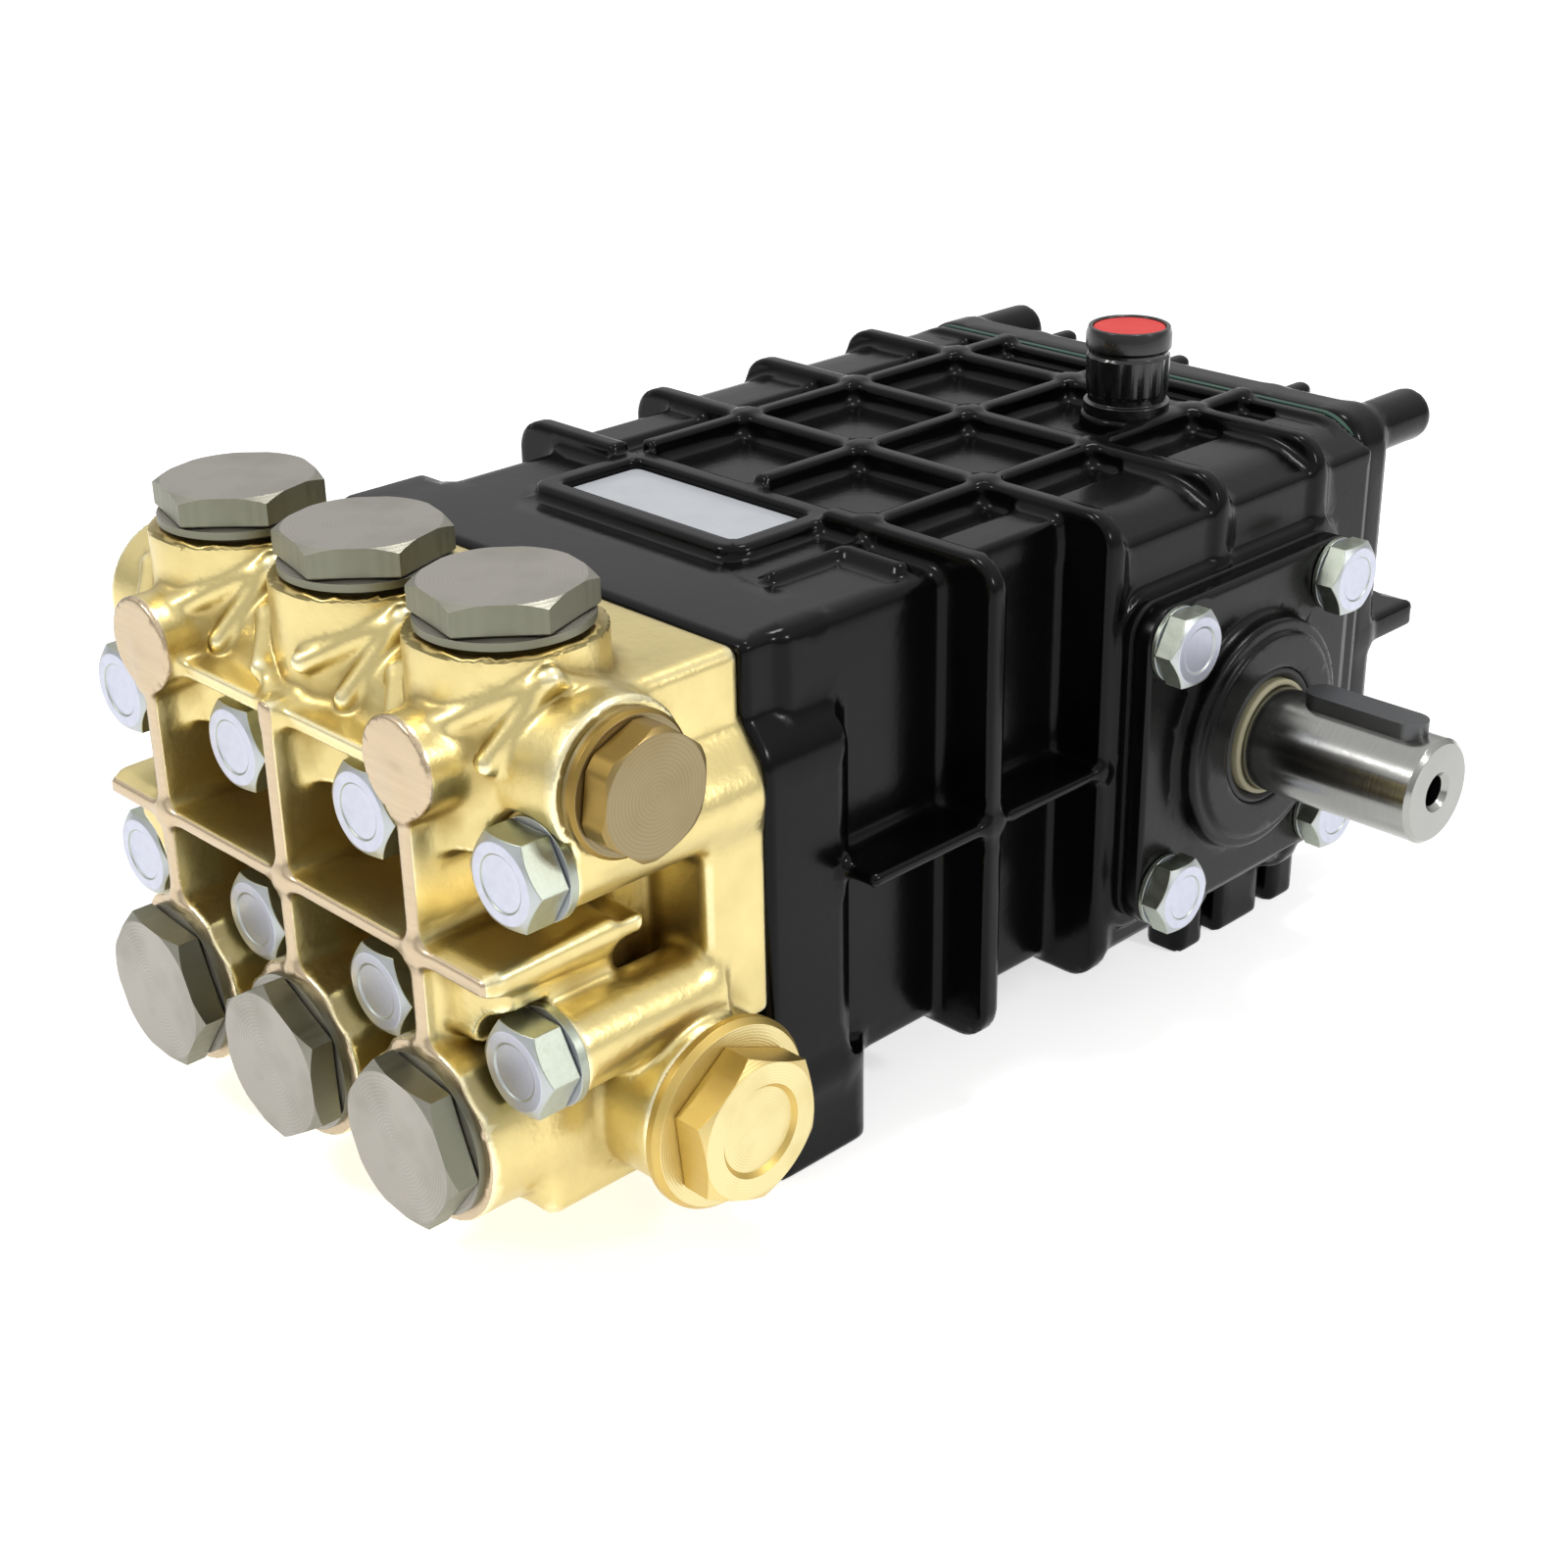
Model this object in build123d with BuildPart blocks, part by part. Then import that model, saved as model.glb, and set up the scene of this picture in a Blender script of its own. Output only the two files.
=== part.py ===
from build123d import *
import os

os.makedirs("parts", exist_ok=True)

# High-pressure triplex plunger pump. Millimetres, +Z up, -Y towards the brass head,
# +X towards the keyed shaft end. The origin is the centre of the four foot holes, on the floor.

# Cylinders and valve caps
PITCH = 43.5
CAP_AF = 31.0
CAP_FACE_R = 15.8
CAP_HEX_H = 6.2
CAP_COLLAR_R = 17.2
CAP_COLLAR_H = 2.0
CAP_SPIGOT_R = 14.0
CAP_SPIGOT_H = 12.0
CAP_TURNS_TOP = [45.0, 47.0, 49.0]
CAP_TURNS_FRONT = [54.0, 32.0, 52.0]
CHAMFER_ANGLE = 59.0
CHAMFER_SLOPE = 0.6
CHAMFER_MARGIN = 2.0
BORE_GAP = 0.1

# Brass head
SEAM_Y = -89.0
HEAD_PLATE_T = 16.0
LUG_X = 72.0
LUG_BOTTOM_Z = 43.0
LUG_TOP_Z = 97.0
LUG_SLOPE_H = 8.0
BODY_X = 66.0
BODY_TOP_Z = 121.0
BODY_UPPER_T = 30.0
BODY_UPPER_Z = 88.5
CORE_X = 54.0
CORE_TOP_Z = 115.0
CORE_BOTTOM_Z = 10.0
BARREL_DEPTH = 65.3
BARREL_Z = 32.2
BARREL_R = 19.4
CORE_SETBACK = 28.3
TOWER_SETBACK = 26.6
TOWER_R = 19.4
TOWER_TOP_Z = 131.8
DELIVERY_Z = 108.5
DELIVERY_R = 16.0
DELIVERY_END_X = 74.3
DELIVERY_THREAD_R = 9.5
SUCTION_DEPTH = 20.5
SUCTION_Z = 32.0
SUCTION_R = 18.5
SUCTION_END_X = 77.5
SUCTION_THREAD_R = 15.15
THREAD_DEPTH = 15.0
SEAT_CLEARANCE = 2.0
WEB_PROUD = 0.4
WEB_T = 4.0
WEB_Z = 71.7
WEB_X = 65.5
WEB_BOTTOM_Z = 53.0
UPPER_RIB_Z = 107.0
DISC_Z = 110.2
DISC_R = 10.2
DISC_PROUD = 0.6

# Head bolts, two rows of four
BOLT_UPPER_Z = 92.2
BOLT_LOWER_Z = 52.6
BOLT_BOSS_R = 9.3
BOLT_BOSS_SETBACK = 14.8
BOLT_AF = 18.0
BOLT_HEAD_H = 8.0
BOLT_WASHER_R = 10.4
BOLT_WASHER_T = 2.0
BOLT_SHANK_R = 6.0
SPOT_FACE_R = 11.5
BOLT_SHANK_L = 10.0
HOLE_END_GAP = 1.0

# Port plugs on the +X side
PLUG_WASHER_T = 1.5
DELIVERY_PLUG_AF = 24.0
DELIVERY_PLUG_HEX_H = 8.5
DELIVERY_PLUG_TURN = 21.6
DELIVERY_WASHER_R = 14.0
SUCTION_PLUG_AF = 29.0
SUCTION_PLUG_HEX_H = 8.0
SUCTION_PLUG_TURN = 36.0
SUCTION_COLLAR_R = 20.3
SUCTION_COLLAR_H = 3.0
SUCTION_RECESS_R = 10.5
SUCTION_RECESS_H = 1.2
PLUG_SPIGOT_H = 14.0

# Crankcase
CASE_MID_X = 5.4
CASE_HALF_X = 62.0
CASE_BOTTOM_Z = 16.5
CASE_TOP_Z = 121.0
CASE_CORNER = 2.0
EDGE_STRIP_INNER_X = 49.6
EDGE_STRIP_H = 2.0
REAR_HALF_X = 75.0
REAR_SIDE_TOP_Z = 118.5
REAR_SHOULDER_X = 65.2
REAR_SIDE_BOTTOM_Z = 20.5
REAR_SLOPE_X = 5.0
REAR_GAP_Y = 14.5
REAR_RIM_T = 4.0
FRONT_BLOCK_T = 24.0
LEG_INNER_X = 42.0
LEG_T = 30.0
LEG_CORNER_R = 5.0
FOOT_HOLE_X = 57.0
FOOT_HOLE_Y = 74.0
FOOT_HOLE_R = 4.25
FOOT_HOLE_DEPTH = 16.0
FOOT_NUB_T = 11.0
FOOT_NUB_STEP = 19.0
REAR_FOOT_X = 72.0
REAR_FOOT_HALF_Y = 9.0
HOOP_HALF_X = 75.6
HOOP_T = 5.0
HOOP_FRONT_Y = -31.0
HOOP_PITCH = 37.63
HOOP_COUNT = 4
HOOP_TOP_Z = 126.3
HOOP_BOTTOM_Z = 14.0
HOOP_CORNER_R = 8.0
TOP_RIB_PITCH = 37.8
TOP_RIB_T = 4.0
SIDE_RIB_Z = 67.2
SIDE_RIB_T = 3.0
LABEL_X = 55.5
LABEL_Y = 22.0
LABEL_MID_Y = -42.5
LABEL_MID_X = -1.5
LABEL_RIM = 6.0
LABEL_RIM_H = 3.0
LABEL_GAP = 0.5
LABEL_T = 0.8
LABEL_CORNER_R = 2.0
FUSE_DEPTH = 2.0

# Crankshaft, bearing flanges and seal
SHAFT_Y = 49.0
SHAFT_Z = 66.0
SHAFT_R = 12.0
SHAFT_END_X = 137.7
JOURNAL_R = 17.5
JOURNAL_L = 38.0
RUN_GAP = 0.05
END_GAP = 0.3
SHAFT_CHAMFER = 1.0
TAPPING_R = 3.4
TAPPING_DEPTH = 20.0
KEY_W = 8.0
KEY_H = 7.0
KEY_DEPTH = 4.0
KEY_L = 30.0
KEY_SETBACK = 4.2
HOUSING_REACH = 76.6
HOUSING_MARGIN = 2.0
SHIM_T = 1.0
FLANGE_T = 5.0
FLANGE_HALF = 38.5
FLANGE_CORNER_R = 8.0
HUB_R = 27.5
HUB_H = 5.0
HUB_FACE_R = 24.3
HUB_FACE_H = 1.2
SEAL_R = 16.0
SEAL_T = 6.0
SEAL_LIP_R = 14.8
SEAL_PROUD = 1.0
SHAFT_CLEARANCE = 1.0
FLANGE_BOLT_INSET = 8.5
FLANGE_BOLT_AF = 16.0
FLANGE_BOLT_H = 5.6
FLANGE_WASHER_R = 8.5
FLANGE_WASHER_T = 1.2
FLANGE_BOLT_R = 5.0
FLANGE_BOLT_L = 18.0

# Rear cover
GASKET_T = 1.5
COVER_T = 12.5
COVER_HALF_X = 71.0
COVER_TOP_Z = 124.5
COVER_BOTTOM_Z = 14.0
COVER_CORNER_R = 12.0
COVER_EDGE_R = 3.0
COVER_LUG_X = 75.5
COVER_LUG_BOTTOM_Z = 30.0
COVER_LUG_TOP_Z = 111.0
COVER_ROD_R = 6.5
COVER_ROD_X = 62.4
COVER_ROD_Z = 117.0
COVER_ROD_L = 34.5
COVER_ROD_EDGE_R = 2.5
COVER_FIN_T = 5.0
COVER_FIN_L = 24.5
COVER_FIN_TOP_Z = 122.5
COVER_NUB_X = 76.0
COVER_NUB_INNER_X = 62.0
COVER_NUB_L = 31.5
COVER_NUB_Z = 66.5
COVER_NUB_T = 7.0
COVER_BOLT_R = 3.0
COVER_BOLT_HEAD_R = 5.0
COVER_BOLT_HEAD_H = 5.0
COVER_BOLT_L = 10.0
COVER_BOLT_X = 61.0
COVER_BOLT_LOW_Z = 23.0
COVER_BOLT_HIGH_Z = 92.0

# Oil filler and drain
FILLER_X = 33.5
FILLER_Y = 69.0
FILLER_R = 10.2
FILLER_H = 20.5
FILLER_NECK_R = 11.0
FILLER_NECK_H = 5.5
FILLER_DISC_R = 8.9
FILLER_DISC_T = 1.5
DRAIN_AF = 17.0
DRAIN_HEX_H = 8.0
DRAIN_Z = 40.0
SIGHT_R = 13.0
SIGHT_GLASS_R = 9.0
SIGHT_T = 5.0
SIGHT_GLASS_T = 3.0
SIGHT_Z = 62.0


def save(builder, label):
    builder.part.label = label
    export_step(builder.part, f"parts/{label}.step")


def hexagon_across(flats):
    return flats / 3**0.5


CYLINDERS = [-PITCH, 0.0, PITCH]
BOLT_COLUMNS = [-1.5 * PITCH, -0.5 * PITCH, 0.5 * PITCH, 1.5 * PITCH]
HEAD_PLATE_Y = SEAM_Y - HEAD_PLATE_T
BARREL_FRONT_Y = SEAM_Y - BARREL_DEPTH
CORE_FRONT_Y = BARREL_FRONT_Y + CORE_SETBACK
BOLT_BOSS_Y = BARREL_FRONT_Y + BOLT_BOSS_SETBACK
WEB_Y = BARREL_FRONT_Y - WEB_PROUD
DISC_Y = WEB_Y - DISC_PROUD
TOWER_Y = BARREL_FRONT_Y + TOWER_SETBACK
SUCTION_Y = SEAM_Y - SUCTION_DEPTH
FRONT_BLOCK_REAR_Y = SEAM_Y + FRONT_BLOCK_T
LEG_REAR_Y = SEAM_Y + LEG_T
HOOPS = [HOOP_FRONT_Y + i * HOOP_PITCH for i in range(HOOP_COUNT)]
TOP_RIBS = [CASE_MID_X + i * TOP_RIB_PITCH for i in (-1, 0, 1)]
HOUSING_HALF = FLANGE_HALF + HOUSING_MARGIN
FLANGE_BOLT_SPAN = 2 * (FLANGE_HALF - FLANGE_BOLT_INSET)
HOUSING_X = CASE_MID_X + HOUSING_REACH
JOURNAL_END_X = HOUSING_X - JOURNAL_L
KEY_END_X = SHAFT_END_X - KEY_SETBACK
CASE_REAR_Y = SHAFT_Y + HOUSING_HALF + REAR_GAP_Y
COVER_Y = CASE_REAR_Y + GASKET_T
COVER_BACK_Y = COVER_Y + COVER_T


def front_plane(y):
    # Sketch plane facing -Y: x is X, y is Z
    return Plane(origin=(0, y, 0), x_dir=(1, 0, 0), z_dir=(0, -1, 0))


def rear_plane(y):
    # Sketch plane facing +Y: x is -X, y is Z
    return Plane(origin=(0, y, 0), x_dir=(-1, 0, 0), z_dir=(0, 1, 0))


def right_plane(x):
    # Sketch plane facing +X: x is Y, y is Z
    return Plane(origin=(x, 0, 0), x_dir=(0, 1, 0), z_dir=(1, 0, 0))


def left_plane(x):
    # Sketch plane facing -X: x is -Y, y is Z
    return Plane(origin=(x, 0, 0), x_dir=(0, -1, 0), z_dir=(-1, 0, 0))


def side_plane(side, reach):
    # Plane facing +X at a reach from the case's middle, to the right or the left
    return right_plane(CASE_MID_X + side * reach)


def case_point(x, z):
    # Point of a sketch facing +Y, measured from the case's middle
    return (x - CASE_MID_X, z)


# Brass manifold head
def shoulder_points(bottom_z):
    # Outline shared by the head's plate and the front block: narrow above the sloping shoulder
    return [
        (-LUG_X, bottom_z),
        (-LUG_X, LUG_TOP_Z),
        (-BODY_X, LUG_TOP_Z + LUG_SLOPE_H),
        (-BODY_X, BODY_TOP_Z),
        (BODY_X, BODY_TOP_Z),
        (BODY_X, LUG_TOP_Z + LUG_SLOPE_H),
        (LUG_X, LUG_TOP_Z),
        (LUG_X, bottom_z),
    ]


with BuildPart() as manifold_head:
    with BuildSketch(front_plane(SEAM_Y)):
        with BuildLine():
            Polyline(*shoulder_points(LUG_BOTTOM_Z), close=True)
        make_face()
    extrude(amount=HEAD_PLATE_T)
    # Wide block over the upper bolts
    with BuildSketch(front_plane(SEAM_Y)):
        with Locations((0, (BODY_UPPER_Z + BODY_TOP_Z) / 2)):
            Rectangle(2 * BODY_X, BODY_TOP_Z - BODY_UPPER_Z)
    extrude(amount=BODY_UPPER_T)
    # Core behind the webs
    with BuildSketch(front_plane(SEAM_Y)):
        with Locations((0, (CORE_BOTTOM_Z + CORE_TOP_Z) / 2)):
            Rectangle(2 * CORE_X, CORE_TOP_Z - CORE_BOTTOM_Z)
    extrude(amount=SEAM_Y - CORE_FRONT_Y)
    # Delivery and suction galleries
    with BuildSketch(left_plane(DELIVERY_END_X)):
        with Locations((-TOWER_Y, DELIVERY_Z)):
            Circle(DELIVERY_R)
    extrude(amount=2 * DELIVERY_END_X)
    with BuildSketch(left_plane(SUCTION_END_X)):
        with Locations((-SUCTION_Y, SUCTION_Z)):
            Circle(SUCTION_R)
    extrude(amount=2 * SUCTION_END_X)
    # Valve towers and suction barrels
    with BuildSketch(Plane.XY.offset(TOWER_TOP_Z)):
        for x in CYLINDERS:
            with Locations((x, TOWER_Y)):
                Circle(TOWER_R)
    extrude(amount=-(TOWER_TOP_Z - DELIVERY_Z + DELIVERY_R / 2))
    with BuildSketch(front_plane(BARREL_FRONT_Y)):
        for x in CYLINDERS:
            with Locations((x, BARREL_Z)):
                Circle(BARREL_R)
    extrude(amount=BARREL_FRONT_Y - SUCTION_Y)
    # Bolt columns
    with BuildSketch(front_plane(BOLT_BOSS_Y)):
        for x in BOLT_COLUMNS:
            for z in (BOLT_UPPER_Z, BOLT_LOWER_Z):
                with Locations((x, z)):
                    Circle(BOLT_BOSS_R)
    extrude(amount=BOLT_BOSS_Y - SEAM_Y)
    # Webs and machined discs
    with BuildSketch(front_plane(WEB_Y)):
        for x in CYLINDERS:
            with Locations((x, (WEB_BOTTOM_Z + DISC_Z) / 2)):
                Rectangle(WEB_T, DISC_Z - WEB_BOTTOM_Z)
        with Locations((0, WEB_Z)):
            Rectangle(2 * WEB_X, WEB_T)
        with Locations((0, UPPER_RIB_Z)):
            Rectangle(2 * PITCH, WEB_T)
    extrude(amount=WEB_Y - CORE_FRONT_Y - FUSE_DEPTH)
    with BuildSketch(front_plane(DISC_Y)):
        for x in (-PITCH, PITCH):
            with Locations((x, DISC_Z)):
                Circle(DISC_R)
    extrude(amount=DISC_Y - TOWER_Y)
    # Seats of the valve caps
    with BuildSketch(Plane.XY.offset(TOWER_TOP_Z)):
        for x in CYLINDERS:
            with Locations((x, TOWER_Y)):
                Circle(CAP_SPIGOT_R + BORE_GAP)
    extrude(amount=-(CAP_SPIGOT_H + SEAT_CLEARANCE), mode=Mode.SUBTRACT)
    with BuildSketch(front_plane(BARREL_FRONT_Y)):
        for x in CYLINDERS:
            with Locations((x, BARREL_Z)):
                Circle(CAP_SPIGOT_R + BORE_GAP)
    extrude(amount=-(CAP_SPIGOT_H + SEAT_CLEARANCE), mode=Mode.SUBTRACT)
    # Spot faces and holes for the head bolts
    for radius, depth in (
        (SPOT_FACE_R, BOLT_BOSS_Y - WEB_Y + FUSE_DEPTH),
        (BOLT_SHANK_R + BORE_GAP, -BOLT_SHANK_L - HOLE_END_GAP),
    ):
        with BuildSketch(front_plane(BOLT_BOSS_Y)):
            for x in BOLT_COLUMNS:
                for z in (BOLT_UPPER_Z, BOLT_LOWER_Z):
                    with Locations((x, z)):
                        Circle(radius)
        extrude(amount=depth, mode=Mode.SUBTRACT)
    # Threaded ports at both ends of the galleries
    for end_x, y, z, radius in (
        (DELIVERY_END_X, TOWER_Y, DELIVERY_Z, DELIVERY_THREAD_R),
        (SUCTION_END_X, SUCTION_Y, SUCTION_Z, SUCTION_THREAD_R),
    ):
        for side in (-1, 1):
            with BuildSketch(right_plane(side * end_x)):
                with Locations((y, z)):
                    Circle(radius)
            extrude(amount=-side * THREAD_DEPTH, mode=Mode.SUBTRACT)
save(manifold_head, "manifold_head")


def valve_cap(plane, turn):
    # Hexagon with a turned chamfer on a round collar, and the threaded spigot below it
    with BuildPart() as cap:
        with BuildSketch(plane.offset(CAP_COLLAR_H)):
            RegularPolygon(hexagon_across(CAP_AF), 6, rotation=turn)
        extrude(amount=CAP_HEX_H)
        with BuildSketch(plane):
            Circle(CAP_COLLAR_R)
        extrude(amount=CAP_COLLAR_H)
        with BuildSketch(plane):
            Circle(CAP_SPIGOT_R)
        extrude(amount=-CAP_SPIGOT_H)
        corner = hexagon_across(CAP_AF)
        with BuildSketch(plane.offset(CAP_COLLAR_H + CAP_HEX_H)):
            Circle(corner + CHAMFER_MARGIN)
            Circle(CAP_FACE_R, mode=Mode.SUBTRACT)
        extrude(amount=-(corner - CAP_FACE_R) * CHAMFER_SLOPE, taper=-CHAMFER_ANGLE, mode=Mode.SUBTRACT)
    return cap


for number, x in enumerate(CYLINDERS, start=1):
    top_plane = Plane(origin=(x, TOWER_Y, TOWER_TOP_Z), x_dir=(1, 0, 0), z_dir=(0, 0, 1))
    save(valve_cap(top_plane, CAP_TURNS_TOP[number - 1]), f"delivery_valve_cap_{number}")
    nose_plane = Plane(origin=(x, BARREL_FRONT_Y, BARREL_Z), x_dir=(1, 0, 0), z_dir=(0, -1, 0))
    save(valve_cap(nose_plane, CAP_TURNS_FRONT[number - 1]), f"suction_valve_cap_{number}")

# Plug and washer of the delivery port
with BuildPart() as delivery_port_washer:
    with BuildSketch(right_plane(DELIVERY_END_X)):
        with Locations((TOWER_Y, DELIVERY_Z)):
            Circle(DELIVERY_WASHER_R)
            Circle(DELIVERY_THREAD_R + BORE_GAP, mode=Mode.SUBTRACT)
    extrude(amount=PLUG_WASHER_T)
save(delivery_port_washer, "delivery_port_washer")

with BuildPart() as delivery_port_plug:
    with BuildSketch(right_plane(DELIVERY_END_X + PLUG_WASHER_T)):
        with Locations((TOWER_Y, DELIVERY_Z)):
            RegularPolygon(hexagon_across(DELIVERY_PLUG_AF), 6, rotation=DELIVERY_PLUG_TURN)
    extrude(amount=DELIVERY_PLUG_HEX_H)
    with BuildSketch(right_plane(DELIVERY_END_X + PLUG_WASHER_T)):
        with Locations((TOWER_Y, DELIVERY_Z)):
            Circle(DELIVERY_THREAD_R - BORE_GAP)
    extrude(amount=-PLUG_SPIGOT_H)
save(delivery_port_plug, "delivery_port_plug")

# Plug and washer of the suction port
with BuildPart() as suction_port_washer:
    with BuildSketch(right_plane(SUCTION_END_X)):
        with Locations((SUCTION_Y, SUCTION_Z)):
            Circle(SUCTION_R)
            Circle(SUCTION_THREAD_R + BORE_GAP, mode=Mode.SUBTRACT)
    extrude(amount=PLUG_WASHER_T)
save(suction_port_washer, "suction_port_washer")

SUCTION_PLUG_X = SUCTION_END_X + PLUG_WASHER_T
with BuildPart() as suction_port_plug:
    with BuildSketch(right_plane(SUCTION_PLUG_X)):
        with Locations((SUCTION_Y, SUCTION_Z)):
            Circle(SUCTION_COLLAR_R)
    extrude(amount=SUCTION_COLLAR_H)
    with BuildSketch(right_plane(SUCTION_PLUG_X + SUCTION_COLLAR_H)):
        with Locations((SUCTION_Y, SUCTION_Z)):
            RegularPolygon(hexagon_across(SUCTION_PLUG_AF), 6, rotation=SUCTION_PLUG_TURN)
    extrude(amount=SUCTION_PLUG_HEX_H)
    with BuildSketch(right_plane(SUCTION_PLUG_X)):
        with Locations((SUCTION_Y, SUCTION_Z)):
            Circle(SUCTION_THREAD_R - BORE_GAP)
    extrude(amount=-PLUG_SPIGOT_H)
    with BuildSketch(right_plane(SUCTION_PLUG_X + SUCTION_COLLAR_H + SUCTION_PLUG_HEX_H)):
        with Locations((SUCTION_Y, SUCTION_Z)):
            Circle(SUCTION_RECESS_R)
    extrude(amount=-SUCTION_RECESS_H, mode=Mode.SUBTRACT)
save(suction_port_plug, "suction_port_plug")

# Head bolts and their washers
with BuildPart() as head_bolt_washers:
    with BuildSketch(front_plane(BOLT_BOSS_Y)):
        for x in BOLT_COLUMNS:
            for z in (BOLT_UPPER_Z, BOLT_LOWER_Z):
                with Locations((x, z)):
                    Circle(BOLT_WASHER_R)
                    Circle(BOLT_SHANK_R + BORE_GAP, mode=Mode.SUBTRACT)
    extrude(amount=BOLT_WASHER_T)
save(head_bolt_washers, "head_bolt_washers")

for label, z in (("head_bolts_upper", BOLT_UPPER_Z), ("head_bolts_lower", BOLT_LOWER_Z)):
    with BuildPart() as head_bolts:
        with BuildSketch(front_plane(BOLT_BOSS_Y - BOLT_WASHER_T)):
            for x in BOLT_COLUMNS:
                with Locations((x, z)):
                    RegularPolygon(hexagon_across(BOLT_AF), 6)
        extrude(amount=BOLT_HEAD_H)
        with BuildSketch(front_plane(BOLT_BOSS_Y - BOLT_WASHER_T)):
            for x in BOLT_COLUMNS:
                with Locations((x, z)):
                    Circle(BOLT_SHANK_R)
        extrude(amount=-(BOLT_SHANK_L + BOLT_WASHER_T))
    save(head_bolts, label)

def narrow_points():
    # Cross-section of the case between its front flange and the second hoop
    return [
        case_point(-CASE_HALF_X, CASE_BOTTOM_Z),
        case_point(-CASE_HALF_X, CASE_TOP_Z - CASE_CORNER),
        case_point(CASE_CORNER - CASE_HALF_X, CASE_TOP_Z),
        case_point(CASE_HALF_X - CASE_CORNER, CASE_TOP_Z),
        case_point(CASE_HALF_X, CASE_TOP_Z - CASE_CORNER),
        case_point(CASE_HALF_X, CASE_BOTTOM_Z),
    ]


def wide_points():
    # Cross-section of the case from the second hoop to the rear
    return [
        case_point(REAR_SLOPE_X - REAR_HALF_X, CASE_BOTTOM_Z),
        case_point(-REAR_HALF_X, REAR_SIDE_BOTTOM_Z),
        case_point(-REAR_HALF_X, REAR_SIDE_TOP_Z),
        case_point(-REAR_SHOULDER_X, CASE_TOP_Z + EDGE_STRIP_H),
        case_point(-EDGE_STRIP_INNER_X, CASE_TOP_Z + EDGE_STRIP_H),
        case_point(-EDGE_STRIP_INNER_X, CASE_TOP_Z),
        case_point(EDGE_STRIP_INNER_X, CASE_TOP_Z),
        case_point(EDGE_STRIP_INNER_X, CASE_TOP_Z + EDGE_STRIP_H),
        case_point(REAR_SHOULDER_X, CASE_TOP_Z + EDGE_STRIP_H),
        case_point(REAR_HALF_X, REAR_SIDE_TOP_Z),
        case_point(REAR_HALF_X, REAR_SIDE_BOTTOM_Z),
        case_point(REAR_HALF_X - REAR_SLOPE_X, CASE_BOTTOM_Z),
    ]


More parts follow.
